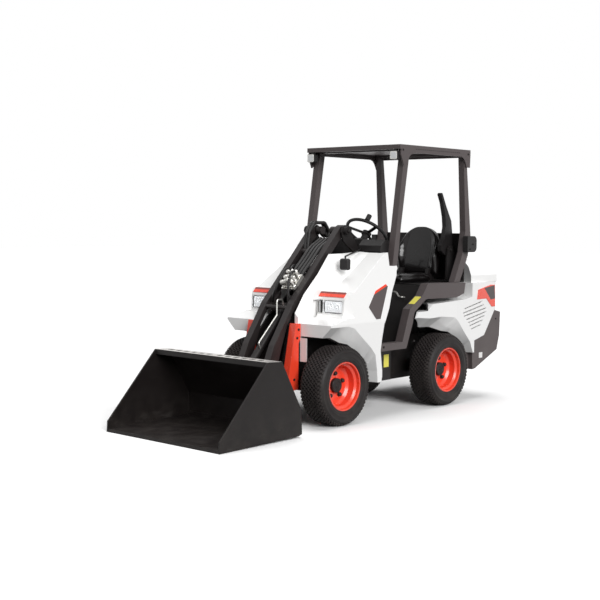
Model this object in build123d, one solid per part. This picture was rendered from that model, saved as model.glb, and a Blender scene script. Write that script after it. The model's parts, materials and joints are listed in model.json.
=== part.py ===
from build123d import *
import os
import math

# Compact articulated wheel loader with bucket and four-post canopy.
# All sizes are in millimetres. +X is forward, +Y is the machine's left, +Z is up.
# Places are given from the steering pivot on the ground; SHIFT moves the whole
# machine so that its row origin is the bottom centre of its box.

os.makedirs("parts", exist_ok=True)

# Main sizes
FRONT_X = 1972.0
REAR_X = -1469.0
SHIFT = -(FRONT_X + REAR_X) / 2
WHEELBASE = 1307.0
AXLE_X = WHEELBASE / 2
TYRE_R = 292.0
TYRE_W = 215.0
TRACK_Y = 415.0
RIM_R = 178.0
AXLE_Z = TYRE_R

# Lift arm pins, in the XZ plane
HINGE = (268.0, 1412.0)
BUCKET_PIN = (1108.0, 150.0)
LIFT_BASE = (770.0, 280.0)
LIFT_EYE = (561.0, 1097.0)
TILT_BASE = (745.0, 850.0)
TILT_EYE = (1185.0, 369.0)
BEAM_IN = 103.0
BEAM_OUT = 157.0

# Steering cylinder pins, in the XY plane
STEER_BASE = (430.0, 115.0)
STEER_EYE = (-30.0, 115.0)
STEER_Z = 410.0

# Running gap of a pin or eye against its seat
GAP = 0.3


def block(x0, x1, y0, y1, z0, z1):
    centre = ((x0 + x1) / 2, (y0 + y1) / 2, (z0 + z1) / 2)
    return Pos(*centre) * Box(x1 - x0, y1 - y0, z1 - z0)


def side_plate(points, y0, y1):
    # a flat shape drawn in XZ, as thick as y0 to y1
    outline = Wire.make_polygon([(x, y0, z) for x, z in points])
    return extrude(Face(outline), amount=y1 - y0, dir=(0, 1, 0))


def flat_plate(points, z0, z1):
    # a flat shape drawn in XY, as thick as z0 to z1
    outline = Wire.make_polygon([(x, y, z0) for x, y in points])
    return extrude(Face(outline), amount=z1 - z0, dir=(0, 0, 1))


def cross_plate(points, x0, x1):
    # a flat shape drawn in YZ, as thick as x0 to x1
    outline = Wire.make_polygon([(x0, y, z) for y, z in points])
    return extrude(Face(outline), amount=x1 - x0, dir=(1, 0, 0))


def pin_y(x, z, y0, y1, r):
    turned = Location((x, (y0 + y1) / 2, z), (90, 0, 0))
    return turned * Cylinder(r, y1 - y0)


def pin_z(x, y, z0, z1, r):
    return Pos(x, y, (z0 + z1) / 2) * Cylinder(r, z1 - z0)


def rod(p, q, r):
    a = Vector(*p)
    b = Vector(*q)
    plane = Plane(origin=a, z_dir=b - a)
    return extrude(plane * Circle(r), amount=(b - a).length)


def bar(p, q, width, height, up=(0, 1, 0)):
    # a square bar from p to q; width lies along up
    a = Vector(*p)
    b = Vector(*q)
    along = (b - a).normalized()
    plane = Plane(origin=a, x_dir=Vector(*up), z_dir=along)
    return extrude(plane * Rectangle(width, height), amount=(b - a).length)


def fuse(*shapes):
    whole = shapes[0]
    for shape in shapes[1:]:
        whole = whole + shape
    return whole


def tube(points, r, bend):
    # a round line through the points with rounded corners
    path = FilletPolyline(*points, radius=bend)
    start = Plane(origin=path @ 0, z_dir=path % 0)
    return sweep(start * Circle(r), path=path)


def arch(table, axle_x):
    # points round a tyre: the angle from straight ahead and the space beyond the tread
    places = []
    for angle, space in table:
        reach = TYRE_R + space
        a = math.radians(angle)
        places.append((axle_x + reach * math.cos(a), AXLE_Z + reach * math.sin(a)))
    return places


def skin(points, y, other_points, other_y):
    # a solid between a shape at y and its partner at other_y, both drawn in XZ
    first = Face(Wire.make_polygon([(px, y, pz) for px, pz in points]))
    second = Face(Wire.make_polygon([(px, other_y, pz) for px, pz in other_points]))
    return loft([first, second], ruled=True)


def mirrored(shape):
    return mirror(shape, about=Plane.XZ)


def both(shape):
    # the shape on the left side and its mirror on the right side
    return [shape, mirrored(shape)]


def save(name, *shapes):
    solids = []
    for shape in shapes:
        group = shape if isinstance(shape, list) else [shape]
        for item in group:
            solids.extend(item.solids())
    whole = Compound(children=[s.moved(Location((SHIFT, 0, 0))) for s in solids])
    export_step(whole, "parts/" + name + ".step")
    box = whole.bounding_box()
    print(name, len(solids), "solids", [round(v) for v in (*box.min, *box.max)])


# Front frame

# Tower plates: one on each side of the lift arm's slot, with a side tank on its neck;
# the left one carries the two shelves that hold the steering cylinder
TOWER_IN = 165.0
TOWER_OUT = 180.0
tower_profile = [
    (200, 250),
    (870, 250),
    (870, 640),
    (760, 760),
    (500, 940),
    (330, 1080),
    (130, 1224),
    (290, 1330),
    (312, 1400),
    (300, 1440),
    (268, 1455),
    (236, 1440),
    (64, 1224),
    (52, 1124),
    (186, 710),
    (228, 642),
    (238, 480),
    (200, 470),
]
tower = side_plate(tower_profile, TOWER_IN, TOWER_OUT)
boss = pin_y(HINGE[0], HINGE[1], TOWER_IN, 212, 34)
tower = tower + boss
EAR_LOW = (213, 235)
EAR_HIGH = (485, 507)
hub = pin_z(0, 0, EAR_LOW[1] + GAP, EAR_HIGH[0] - GAP, 55)
tongue = block(0, 220, -40, 40, 262, 458)
rear_block = block(200, 300, -TOWER_IN, TOWER_IN, 250, 470)
rear_block = rear_block - block(190, 310, 60, TOWER_IN, 374, 480)
axle_box = block(590, 690, -TOWER_IN, TOWER_IN, 225, 372)
nose_block = block(818, 870, -TOWER_IN, TOWER_IN, 250, 300)
STEER_EYE_HALF = 26.0
shelf_low = STEER_Z - STEER_EYE_HALF - GAP
shelf_high = STEER_Z + STEER_EYE_HALF + GAP
steer_shelf = block(395, 465, 88, TOWER_IN, shelf_low - 10, shelf_low) + block(395, 465, 88, TOWER_IN, shelf_high, shelf_high + 10)
LIFT_EAR_IN = 42.0
lift_ear = side_plate([(715, 250), (806, 250), (812, 290), (780, 322), (745, 318), (715, 290)], LIFT_EAR_IN, LIFT_EAR_IN + 16)
FLOOR_Z = 512.0
tank = block(-50, 220, 200, 385, 262, FLOOR_Z)
tank_neck = block(200, 222, TOWER_OUT, 200, 262, 478)
inner_floor = block(300, 818, -TOWER_IN, TOWER_IN, 250, 262) - block(690, 818, -LIFT_EAR_IN, LIFT_EAR_IN, 240, 270)
tower_left = fuse(tower, tank_neck, tank, steer_shelf)
tower_right = mirrored(fuse(tower, tank_neck, tank))
save("tower_plates", tower_left, tower_right)

# Front chassis between the towers: the pivot hub and its tongue, the axle box, the
# cross blocks and the floor plate with the lift cylinder's ears
front_chassis = fuse(hub, tongue, rear_block, axle_box, nose_block, inner_floor, lift_ear, mirrored(lift_ear))
save("front_chassis", front_chassis)

# Front axle: the beam outside the tower plates with a wheel motor at each end
HUB_Y = 286.0
axle_half = pin_y(AXLE_X, AXLE_Z, TOWER_OUT, 262, 48) + pin_y(AXLE_X, AXLE_Z, 255, HUB_Y, 78)
front_axle = both(axle_half)
save("front_axle", front_axle)

# Front body: a white half on each side of the slot, with a raised inner ridge,
# the headlamp box, sides that lean inwards towards the top and a flared wheel arch
BODY_IN = TOWER_OUT
RIDGE_Y = 212.0
CROWN_Y = 290.0
WALL_SIDE_Y = 400.0
SIDE_TOP_Y = 440.0
SIDE_TOP_Z = 1247.0
SIDE_Y = 520.0
ARCH_Y = 440.0
SHELF_Z = AXLE_Z + TYRE_R + 158
STEP_Z = 1147.0
ridge_top = [
    (118, 1250),
    (300, 1240),
    (465, 1238),
    (590, 1090),
    (740, 950),
    (838, 815),
    (838, 660),
    (300, 640),
    (226, 641),
    (184, 708),
    (58, 1121),
]
ridge_crease = [
    (118, 1250),
    (300, 1215),
    (438, 1170),
    (557, 1041),
    (690, 930),
    (838, 785),
    (838, 660),
    (300, 640),
    (226, 641),
    (184, 708),
    (58, 1121),
]
crown_low = [
    (118, 1245),
    (300, 1120),
    (400, 1048),
    (480, 990),
    (533, 965),
    (560, 930),
    (560, 660),
    (300, 640),
    (226, 641),
    (184, 708),
    (58, 1121),
]
crown_high = [
    (118, 1250),
    (300, 1190),
    (420, 1110),
    (500, 1020),
    (540, 965),
    (560, 930),
    (560, 660),
    (300, 640),
    (226, 641),
    (184, 708),
    (58, 1121),
]
BOX_FACE = [
    (582, 963),
    (612, 929),
    (620, 915),
    (627, 800),
    (645, 780),
]
inner_profile = [
    (118, 1245),
    (533, 965),
    *BOX_FACE,
    (830, SHELF_Z),
    (830, 640),
    (640, 640),
    (400, 640),
    (345, 520),
    (345, 300),
    (262, 284),
    (233, 516),
    (223, 641),
    (181, 708),
    (46, 1121),
]
side_profile = [
    (74, 1249),
    (118, 1245),
    (533, 965),
    *BOX_FACE,
    (830, SHELF_Z),
    (830, 284),
    (240, 284),
    (231, 326),
    (231, 367),
    (253, 520),
    (236, 614),
    (210, 721),
    (135, 832),
    (77, 953),
    (-2, 1075),
    (-8, 1108),
    (-24, 1125),
    (-20, STEP_Z),
    (74, STEP_Z),
]
ridge = skin(ridge_top, BODY_IN, ridge_crease, RIDGE_Y)
crown = skin(crown_high, RIDGE_Y - 1, crown_low, CROWN_Y)
inner_part = side_plate(inner_profile, BODY_IN, WALL_SIDE_Y)
side_part = side_plate(side_profile, WALL_SIDE_Y, SIDE_Y)
# the wheel arch: a slanted flare from the side in to the arch edge, then straight in
FRONT_FLARE = [
    # angle, space beyond the tread
    (67.0, 182),
    (80.0, 150),
    (93.2, 144),
    (101.8, 136),
    (120.4, 92),
    (136.8, 94),
    (148.6, 103),
    (167.4, 78),
    (181.0, 76),
]
FRONT_EDGE = [
    # angle, space beyond the tread
    (63.0, 110),
    (75.3, 73),
    (91.9, 20),
    (109.5, 18),
    (132.5, 20),
    (149.5, 53),
    (159.1, 67),
    (167.1, 64),
    (181.0, 62),
]
flare_room = skin(
    arch(FRONT_FLARE, AXLE_X) + [(200, 250), (200, 150), (900, 150), (900, arch(FRONT_FLARE, AXLE_X)[0][1])],
    SIDE_Y + 1,
    arch(FRONT_EDGE, AXLE_X) + [(200, 250), (200, 150), (900, 150), (900, arch(FRONT_EDGE, AXLE_X)[0][1])],
    ARCH_Y,
)

flare_in = arch(FRONT_EDGE, AXLE_X)
wheel_room = side_plate(flare_in + [(345, 150), (900, 150), (900, flare_in[0][1])], BODY_IN + 50, ARCH_Y + 1)
lean_room = cross_plate(
    [(SIDE_Y, SHELF_Z), (SIDE_TOP_Y, SIDE_TOP_Z), (SIDE_TOP_Y, 1400), (700, 1400), (700, SHELF_Z)],
    -100, 900,
)
corner_room = flat_plate([(640, 462), (627, 462), (530, 530), (640, 530)], 785, 1300)
box_slot = flat_plate([(600, BODY_IN + 5), (642, BODY_IN + 5), (676, RIDGE_Y + 3), (600, RIDGE_Y + 3)], SHELF_Z + 6, 905)
lamp_slot = block(612, 660, 216, 222, 812, 905)
LENS_Y = (275.0, 450.0)
MARKER_Y = (229.0, 263.0)
lens = block(615, 632, *LENS_Y, 812, 905)
lens = fillet(lens.edges().filter_by(Axis.X), 12)
marker = block(615, 630, *MARKER_Y, 812, 905)
front_half = fuse(inner_part, side_part, crown, ridge)
for room in (flare_room, wheel_room, lean_room, corner_room, box_slot, lamp_slot, lens, marker):
    front_half = front_half - room
front_half = front_half.solids().sort_by(SortBy.VOLUME)[-1]
front_body = both(front_half)
save("front_body", front_body)

# Headlamps: a rounded square lens and a slim marker lamp in each box
save("headlamps", both(lens), both(marker))

# Accent strips: the red stripe on the slanted edge of each headlamp box
stripe = side_plate([(582, 963.5), (612.5, 929.5), (616, 932), (585, 967)], RIDGE_Y + 4, 456)
save("accent_stripes", both(stripe))

# Side badges: the dark plate on each leaning side of the front body
badge_profile = [
    (128, 996),
    (148, 1013),
    (278, 968),
    (380, 852),
    (309, 761),
    (259, 761),
]
lean_rise = SIDE_TOP_Z - SHELF_Z
lean_skin = cross_plate(
    [(SIDE_Y, SHELF_Z), (SIDE_TOP_Y, SIDE_TOP_Z), (SIDE_TOP_Y + 4, SIDE_TOP_Z), (SIDE_Y + 4, SHELF_Z)],
    100, 400,
)
badge = side_plate(badge_profile, 400, 600) & lean_skin
save("body_badges", both(badge.solids()[0]))

# Platform: floor, sloped riser and seat deck in black
PLATFORM_Y = 430.0
POST_IN = 400.0
WALL_TOP = 1225.0
floor = block(-100, 224, -PLATFORM_Y, PLATFORM_Y, FLOOR_Z, FLOOR_Z + 18)
riser = side_plate([(-100, 512), (-82, 512), (-392, 978), (-430, 978), (-430, 960), (-400, 960)], -PLATFORM_Y, PLATFORM_Y)
deck = block(-905, -410, -PLATFORM_Y, PLATFORM_Y, 960, 985)
wall_profile = [
    (26, WALL_TOP),
    (42, WALL_TOP),
    (42, 1121),
    (176, 706),
    (218, 640),
    (224, 530),
    (206, 530),
    (202, 634),
    (160, 700),
    (26, 1116),
]
dash_wall = side_plate(wall_profile, -POST_IN, POST_IN)
platform = fuse(floor, riser, deck, dash_wall)
save("platform", platform)

# Side frames: the dark lower frame at each side, with the step, its sloped leg
# and the side plate that carries the rear post
FRAME_IN = PLATFORM_Y
FRAME_OUT = 500.0
leg_profile = [
    (-427, 999),
    (-333, 869),
    (-199, 784),
    (-176, 702),
    (-101, 521),
    (-95, 509),
    (226, 509),
    (226, 560),
    (190, 566),
    (-20, 562),
    (-46, 562),
    (-138, 810),
    (-300, 905),
    (-372, 999),
]
leg = side_plate(leg_profile, FRAME_IN, FRAME_OUT)
plate_profile = [
    (-380, 999),
    (-427, 999),
    (-860, 990),
    (-900, 985),
    (-880, 900),
    (-765, 872),
    (-352, 878),
    (-333, 869),
]
side_panel = side_plate(plate_profile, FRAME_IN, FRAME_OUT)
side_frame = leg + side_panel
save("side_frames", both(side_frame))

# Canopy frame: front posts, kinked rear posts and the cross beams under the roof
POST_OUT = 455.0
ROOF_TOP = 2070.0
COVER_LOW = ROOF_TOP - 20
BEAM_LOW = COVER_LOW - 22
front_post = side_plate([(-169, COVER_LOW), (-106, COVER_LOW), (-15, 1457), (33, STEP_Z), (-24, STEP_Z), (-66, 1450)], POST_IN, POST_OUT)
rear_post = side_plate(
    [(-943, COVER_LOW), (-907, COVER_LOW), (-950, 1403), (-919, 1231), (-800, 992), (-880, 992), (-991, 1206), (-1027, 1370)],
    POST_IN, POST_OUT,
)
front_beam = block(-167, -108, -POST_IN - 5, POST_IN + 5, BEAM_LOW, COVER_LOW)
rear_beam = block(-941, -909, -POST_IN - 5, POST_IN + 5, BEAM_LOW, COVER_LOW)
canopy_frame = fuse(
    front_post, mirrored(front_post), rear_post, mirrored(rear_post), front_beam, rear_beam,
)
save("canopy_frame", canopy_frame)

# Canopy roof: a flat cover with shaped side plates and a header at each end
ROOF_OUT = 470.0
roof_top = block(-983, -24, -ROOF_OUT, ROOF_OUT, COVER_LOW, ROOF_TOP)
ROOF_SIDE = [
    # x, depth below the roof's top
    (-979, 0),
    (-24, 0),
    (-24, 9),
    (-41, 38),
    (-35, 80),
    (-57, 121),
    (-72, 158),
    (-128, 118),
    (-141, 92),
    (-163, 74),
    (-220, 58),
    (-846, 58),
    (-880, 68),
    (-903, 90),
    (-921, 120),
    (-930, 142),
    (-979, 143),
    (-983, 35),
]
roof_side = side_plate([(x, ROOF_TOP - depth) for x, depth in ROOF_SIDE], POST_OUT, ROOF_OUT)
HEADER_LOW = ROOF_TOP - 35
roof_front = block(-60, -24, -ROOF_OUT, ROOF_OUT, HEADER_LOW, COVER_LOW + 1)
roof_rear = block(-983, -957, -ROOF_OUT, ROOF_OUT, HEADER_LOW - 25, COVER_LOW + 1)
roof = fuse(roof_top, roof_side, mirrored(roof_side), roof_front, roof_rear)
save("roof", roof)

# Work lamps hung from the header at the roof's front corners
LAMP_TOP = HEADER_LOW - 14
lamp = block(-56, -8, 383, 453, LAMP_TOP - 65, LAMP_TOP)
lamp = fillet(lamp.edges().filter_by(Axis.X), 10)
lamp_arm = block(-46, -30, 405, 431, LAMP_TOP - 1, HEADER_LOW)
save("work_lamps", both(lamp + lamp_arm))

# Seat: pan with two back brackets, cushion and a back rest with side bolsters
DECK_Z = 985.0
PAN_TOP = 1000.0
SEAT_X0 = -832.0
SEAT_X1 = -400.0
SEAT_HALF = 225.0
BACK_FOOT = Vector(-890, 0, 1050)
BACK_LEAN = Vector(-75, 0, 394).normalized()
back_plane = Plane(origin=BACK_FOOT, x_dir=(0, 1, 0), z_dir=Vector(BACK_LEAN.Z, 0, -BACK_LEAN.X))
BACK_HALF = 212.0
BACK_HIGH = 402.0
BACK_THICK = 50.0
slab = back_plane * Pos(0, 150, -BACK_THICK / 2) * Box(2 * BACK_HALF, 300, BACK_THICK)
crown_round = back_plane * Pos(0, BACK_HIGH - BACK_HALF, -BACK_THICK / 2) * Cylinder(BACK_HALF, BACK_THICK)
slab = slab + crown_round
bolster = back_plane * Pos(186, 160, 22) * Box(50, 240, 46)
bolster = fillet(bolster.edges(), 18)
seat_back = fuse(slab, bolster, back_plane * Pos(-186, 160, 22) * fillet(Box(50, 240, 46).edges(), 18))
back_support = side_plate([(-948, PAN_TOP), (-836, PAN_TOP), (-868, 1090), (-930, 1090)], 120, 150)
seat_pan = block(-846, -420, -185, 185, DECK_Z, PAN_TOP)
seat_base = fuse(seat_pan, back_support, mirrored(back_support)) - seat_back
cushion = fillet(block(SEAT_X0, SEAT_X1, -SEAT_HALF, SEAT_HALF, PAN_TOP, 1068).edges(), 22)
seat_base = seat_base.solids().sort_by(SortBy.VOLUME)[-1]
save("seat_base", seat_base)
save("seat_cushion", cushion)
save("seat_back", seat_back)

# Dash cowl in front of the operator
cowl_profile = [(82, WALL_TOP), (116, 1256), (110, 1300), (60, 1345), (-60, 1330), (-60, WALL_TOP)]
cowl = side_plate(cowl_profile, -POST_IN, POST_IN)
cowl = cowl - block(56, 400, -TOWER_OUT - 4, TOWER_OUT + 4, 1200, 1500)
save("dash_cowl", cowl)

# Steering column and wheel
WHEEL_C = (-220.0, 0.0, 1388.0)
WHEEL_R = 170.0
COL_DIR = Vector(-0.643, 0, 0.766).normalized()
HUB_DEPTH = 21.0
col_top = Vector(*WHEEL_C) - COL_DIR * (HUB_DEPTH + GAP)
col_low = Vector(*WHEEL_C) - COL_DIR * 170
shroud = side_plate([(-60, 1228), (-60, 1322), (-120, 1345), (-170, 1352), (-205, 1318), (-130, 1250)], -42, 42)
column = rod(tuple(col_low), tuple(col_top), 28) + shroud - cowl
column = column.solids().sort_by(SortBy.VOLUME)[-1]
save("steering_column", column)
wheel_plane = Plane(origin=Vector(*WHEEL_C), x_dir=(0, 1, 0), z_dir=COL_DIR)
rim_ring = wheel_plane * Torus(WHEEL_R, 13)
wheel_hub = wheel_plane * Pos(0, 0, 2.5 - HUB_DEPTH / 2) * Cylinder(38, HUB_DEPTH + 5)
wheel = rim_ring + wheel_hub
for angle in (90, 210, 330):
    spoke = wheel_plane * Rot(0, 0, angle) * Pos((30 + WHEEL_R) / 2, 0, -5) * Box(WHEEL_R - 30, 24, 10)
    wheel = wheel + spoke
knob = wheel_plane * Rot(0, 0, 300) * Pos(WHEEL_R, 0, 35) * Cylinder(20, 50)
wheel = wheel + knob
save("steering_wheel", wheel)

# Mirror on its rod at the left of the dash
mirror_rod = rod((117, 205, 1268), (412, 300, 1222), 6)
mirror_head = fillet(block(392, 436, 258, 342, 1120, 1206).edges(), 16)
mirror_stalk = rod((412, 300, 1222), (412, 300, 1200), 6)
mirror_all = fuse(mirror_rod, mirror_stalk, mirror_head)
save("mirror", mirror_all)

# Control console at the operator's right with its lever
console = block(-700, -380, -385, -265, 985, 1180)
console = fillet(console.edges().filter_by(Axis.Y), 20)
lever = rod((-420, -325, 1170), (-400, -325, 1290), 12) + Pos(-398, -325, 1305) * Sphere(24)
save("console", console + lever)

# Restraint bar at the operator's left, parked upright
restraint_profile = [
    (-816, 1707),
    (-850, 1644),
    (-885, 1525),
    (-895, 1443),
    (-874, 1351),
    (-830, 1290),
    (-837, 1241),
    (-880, 1212),
    (-920, 1203),
    (-968, 1229),
    (-993, 1294),
    (-987, 1396),
    (-972, 1489),
    (-892, 1618),
    (-841, 1713),
    (-830, 1722),
]
RESTRAINT_PIN = (-935.0, 1249.0)
BAR_OUT = 300.0
EAR_OUT = 310.0
restraint = side_plate(restraint_profile, BAR_OUT - 38, BAR_OUT)
restraint = fillet(restraint.edges().filter_by(Axis.Y), 5)
save("restraint_bar", restraint)

# Rear panel behind the seat on its foot plate, with the bracket for the restraint bar
PANEL_HALF = 395.0
rear_panel = block(-1030, -1010, -PANEL_HALF, PANEL_HALF, DECK_Z, 1388)
foot_plate = block(-1030, -848, -PANEL_HALF, PANEL_HALF, DECK_Z, PAN_TOP)
restraint_ear = side_plate(
    [(-1012, DECK_Z), (-880, DECK_Z), (-895, 1262), (-915, 1285), (-960, 1285), (-1012, 1200)],
    EAR_OUT - 4, EAR_OUT + 12,
)
rear_panel = fuse(rear_panel, foot_plate, restraint_ear, pin_y(RESTRAINT_PIN[0], RESTRAINT_PIN[1], BAR_OUT + GAP, EAR_OUT, 26))
save("rear_panel", rear_panel)

# Rounded lamp housings on the rear posts
housing = block(-1053, -920, POST_OUT, 500, 1235, 1367)
housing = fillet(housing.edges().filter_by(Axis.Y).sort_by(Axis.X)[:2], 40)
save("post_housings", both(housing))

# Nose guards: red upright boxes beside the lift arm, ahead of the tower plates
guard_profile = [(838, 742), (889, 745), (955, 400), (975, 300), (930, 262), (858, 262), (858, 600), (838, 640)]
guard = side_plate(guard_profile, TOWER_OUT, 239)
save("nose_guards", both(guard))


# Rear frame

rear_ear_low = flat_plate([(0, -55), (-160, -55), (-310, -140), (-310, 140), (-160, 55), (0, 55)], *EAR_LOW)
rear_ear_low = rear_ear_low + pin_z(0, 0, *EAR_LOW, 55)
rear_ear_high = rear_ear_low.moved(Location((0, 0, EAR_HIGH[0] - EAR_LOW[0])))
spine_front = block(-330, -300, -140, 140, 213, 507)
spine = block(-1400, -325, -165, 165, 213, 300)
tow_plate = block(-1462, -1395, -45, 45, 300, 318) - pin_z(-1435, 0, 290, 330, 13)
engine_wall = block(-1400, -325, -165, -150, 300, 560) + block(-1400, -325, 150, 165, 300, 560)
axle_saddle = block(-720, -590, -165, 165, 225, 400)
STEER_ROD_HALF = 20.0
arm_top = STEER_Z - STEER_ROD_HALF - GAP
steer_arm = bar((-190, 60, arm_top - 11), (STEER_EYE[0], STEER_EYE[1], arm_top - 11), 22, 56, up=(0, 0, 1))
steer_arm = steer_arm + pin_z(STEER_EYE[0], STEER_EYE[1], arm_top - 22, arm_top, 28)
steer_post = block(-230, -165, 30, 90, 300, arm_top) + block(-330, -165, -60, 90, 300, 340)
spine_step = block(-1400, -1300, -45, 45, 290, 318)
rear_chassis = fuse(tow_plate, spine_step, rear_ear_low, rear_ear_high, spine_front, spine, engine_wall, axle_saddle, steer_arm, steer_post)
save("rear_chassis", rear_chassis)

rear_axle_half = pin_y(-AXLE_X, AXLE_Z, 165, 262, 48) + pin_y(-AXLE_X, AXLE_Z, 255, HUB_Y, 78)
save("rear_axle", both(rear_axle_half))

# Engine as one plain block at its real place
engine = block(-1300, -760, -150, 150, 420, 815)
save("engine_block", engine)

# Rear body: lower white shell with arches; its front follows an arc about the pivot
FRONT_ARC = 545.0
SHELF_ARC = 625.0
UPPER_ARC = 1035.0
REAR_SHELF_Z = AXLE_Z + TYRE_R + 200
REAR_TOP_Z = 868.0
BODY_TOP_Z = 980.0
TAIL_X = -1395.0
TAPER_X = -750.0
TAIL_HALF = 475.0
rear_profile = [
    (0, 400),
    (0, REAR_SHELF_Z - 84),
    (-166, REAR_SHELF_Z - 84),
    (-174, REAR_SHELF_Z - 60),
    (-230, REAR_SHELF_Z),
    (-345, REAR_SHELF_Z),
    (-420, 836),
    (-900, 852),
    (-1000, REAR_TOP_Z),
    (-1000, BODY_TOP_Z),
    (TAIL_X, BODY_TOP_Z),
    (TAIL_X, 735),
    (-1384, 735),
    (-1209, 533),
    (-1044, 500),
    (-1044, 400),
]
rear_plan = [
    (0, SIDE_Y),
    (TAPER_X, SIDE_Y),
    (TAIL_X, TAIL_HALF),
    (TAIL_X, -TAIL_HALF),
    (TAPER_X, -SIDE_Y),
    (0, -SIDE_Y),
]
shell_plan = flat_plate(rear_plan, 300, 1000)
shell = side_plate(rear_profile, -SIDE_Y, SIDE_Y) & shell_plan
REAR_FLARE = [
    # angle, space beyond the tread
    (46.0, 330),
    (57.4, 223),
    (76.1, 160),
    (99.4, 136),
    (109.0, 112),
    (120.9, 86),
    (146.5, 92),
    (165.0, 100),
]
REAR_EDGE = [
    # angle, space beyond the tread
    (43.0, 260),
    (50.1, 176),
    (63.1, 107),
    (87.9, 20),
    (106.5, 18),
    (126.6, 22),
    (151.7, 70),
    (165.0, 84),
]
flare_points = arch(REAR_FLARE, -AXLE_X)
edge_points = arch(REAR_EDGE, -AXLE_X)
rear_flare_room = skin(
    flare_points + [(-1050, 300), (0, 300), (0, flare_points[0][1])],
    SIDE_Y + 1,
    edge_points + [(-1050, 300), (0, 300), (0, edge_points[0][1])],
    ARCH_Y,
)
rear_wheel_room = side_plate(edge_points + [(-1050, 300), (0, 300), (0, edge_points[0][1])], -ARCH_Y - 1, ARCH_Y + 1)
core_room = block(-1380, 0, -415, 415, 300, 820)
front_clear = pin_z(0, 0, 0, 1300, FRONT_ARC)
shelf_clear = pin_z(0, 0, REAR_SHELF_Z, REAR_TOP_Z + 1, SHELF_ARC)
upper_clear = pin_z(0, 0, REAR_TOP_Z + 0.5, 1300, UPPER_ARC)
for room in (rear_flare_room, mirrored(rear_flare_room), rear_wheel_room, core_room, front_clear, shelf_clear, upper_clear):
    shell = shell - room
# slanted cooling slots in each side
LOUVRES = [
    # front x, front z, rear x, rear z
    (-873, 768, -1168, 816),
    (-855, 734, -1197, 786),
    (-868, 708, -1238, 756),
    (-904, 677, -1240, 725),
    (-938, 649, -1214, 694),
    (-963, 623, -1181, 658),
    (-989, 594, -1149, 621),
]
LOUVRE_HIGH = 9.0
LOUVRE_DEPTH_Y = 466.0
for x0, z0, x1, z1 in LOUVRES:
    slot = side_plate([(x0, z0), (x1, z1), (x1, z1 + LOUVRE_HIGH), (x0, z0 + LOUVRE_HIGH)], LOUVRE_DEPTH_Y, 600)
    shell = shell - slot - mirrored(slot)
# hinge lugs for the hood at the tail
HOOD_PIN = (-1408.0, 986.0)
LUG_R = 12.0
lug = pin_y(HOOD_PIN[0], HOOD_PIN[1], 181, 211, LUG_R) + block(-1408, TAIL_X + 4, 181, 211, 962, BODY_TOP_Z)
shell = shell + lug + mirrored(lug)
rear_body = shell
save("rear_body", rear_body)

# Engine hood: crowned cover whose front is an arc about the pivot
HOOD_Z = 980.0 + GAP
hood_section = [
    (-480, HOOD_Z),
    (480, HOOD_Z),
    (478, 1040),
    (440, 1110),
    (377, 1161),
    (313, 1186),
    (195, 1202),
    (-195, 1202),
    (-313, 1186),
    (-377, 1161),
    (-440, 1110),
    (-478, 1040),
]
hood = cross_plate(hood_section, -1405, -900)
hood = hood - pin_z(0, 0, 900, 1300, 1120)
hood_in = [(y * 0.95, z - 20) for y, z in hood_section]
hood = hood - (cross_plate([(y, max(z, HOOD_Z)) for y, z in hood_in], -1390, -1150) - pin_z(0, 0, 900, 1300, 1140))
knuckle = pin_y(HOOD_PIN[0], HOOD_PIN[1], 150, 181 - GAP, LUG_R)
notch = pin_y(HOOD_PIN[0], HOOD_PIN[1], 181 - GAP, 216, LUG_R + 5)
hood = hood + knuckle + mirrored(knuckle) - notch - mirrored(notch)
save("engine_hood", hood)

# Counterweight with forward-reaching side cheeks and a dark bracket ahead of each
TAIL_TOP = 735.0
cheek_profile = [
    (-1384, TAIL_TOP),
    (REAR_X, 716),
    (-1459, 515),
    (-1423, 396),
    (-1090, 261),
    (-1050, 256),
    (-1044, 517),
    (-1209, 533),
]
cheek = side_plate(cheek_profile, 300, 480)
cheek_bracket = side_plate([(-1048, 498), (-985, 490), (-965, 420), (-968, 262), (-1050, 260)], 300, 440)
tail = side_plate([(-1398, TAIL_TOP), (REAR_X, 716), (-1459, 515), (-1423, 396), (-1402, 388)], -300, 300)
counterweight = fuse(cheek, mirrored(cheek), tail, cheek_bracket, mirrored(cheek_bracket))
counterweight = counterweight - pin_y(-AXLE_X, AXLE_Z, -600, 600, TYRE_R + 13)
counterweight = counterweight - shell
save("counterweight", counterweight.solids().sort_by(SortBy.VOLUME)[-1])

# Tail badges on the rear corners: a red field with a dark panel
BADGE_THICK = 4.0
badge_plan = [
    (TAPER_X, SIDE_Y),
    (TAIL_X, TAIL_HALF),
    (TAIL_X, TAIL_HALF + BADGE_THICK),
    (TAPER_X, SIDE_Y + BADGE_THICK),
]
badge_skin = flat_plate(badge_plan, 700, 1000)
tail_field = [(-1078, 841), (-1095, 920), (-1308, 954), (-1378, 951), (-1390, 766), (-1329, 768), (-1236, 841)]
tail_panel = [(-1197, 930), (-1370, 948), (-1385, 834), (-1309, 827)]
panel = side_plate(tail_panel, 400, 600) & badge_skin
field = (side_plate(tail_field, 400, 600) & badge_skin) - panel
save("tail_badges", both(panel.solids()[0]))
save("tail_accents", both(field.solids()[0]))

# Rear grille in the back of the body: a frame with upright slots
grille = block(-1401, TAIL_X, -330, 330, 750, 955)
for k in range(12):
    y = -297.0 + 54 * k
    grille = grille - block(-1403, -1397, y - 13, y + 13, 775, 930)
save("rear_grille", grille)

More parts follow.
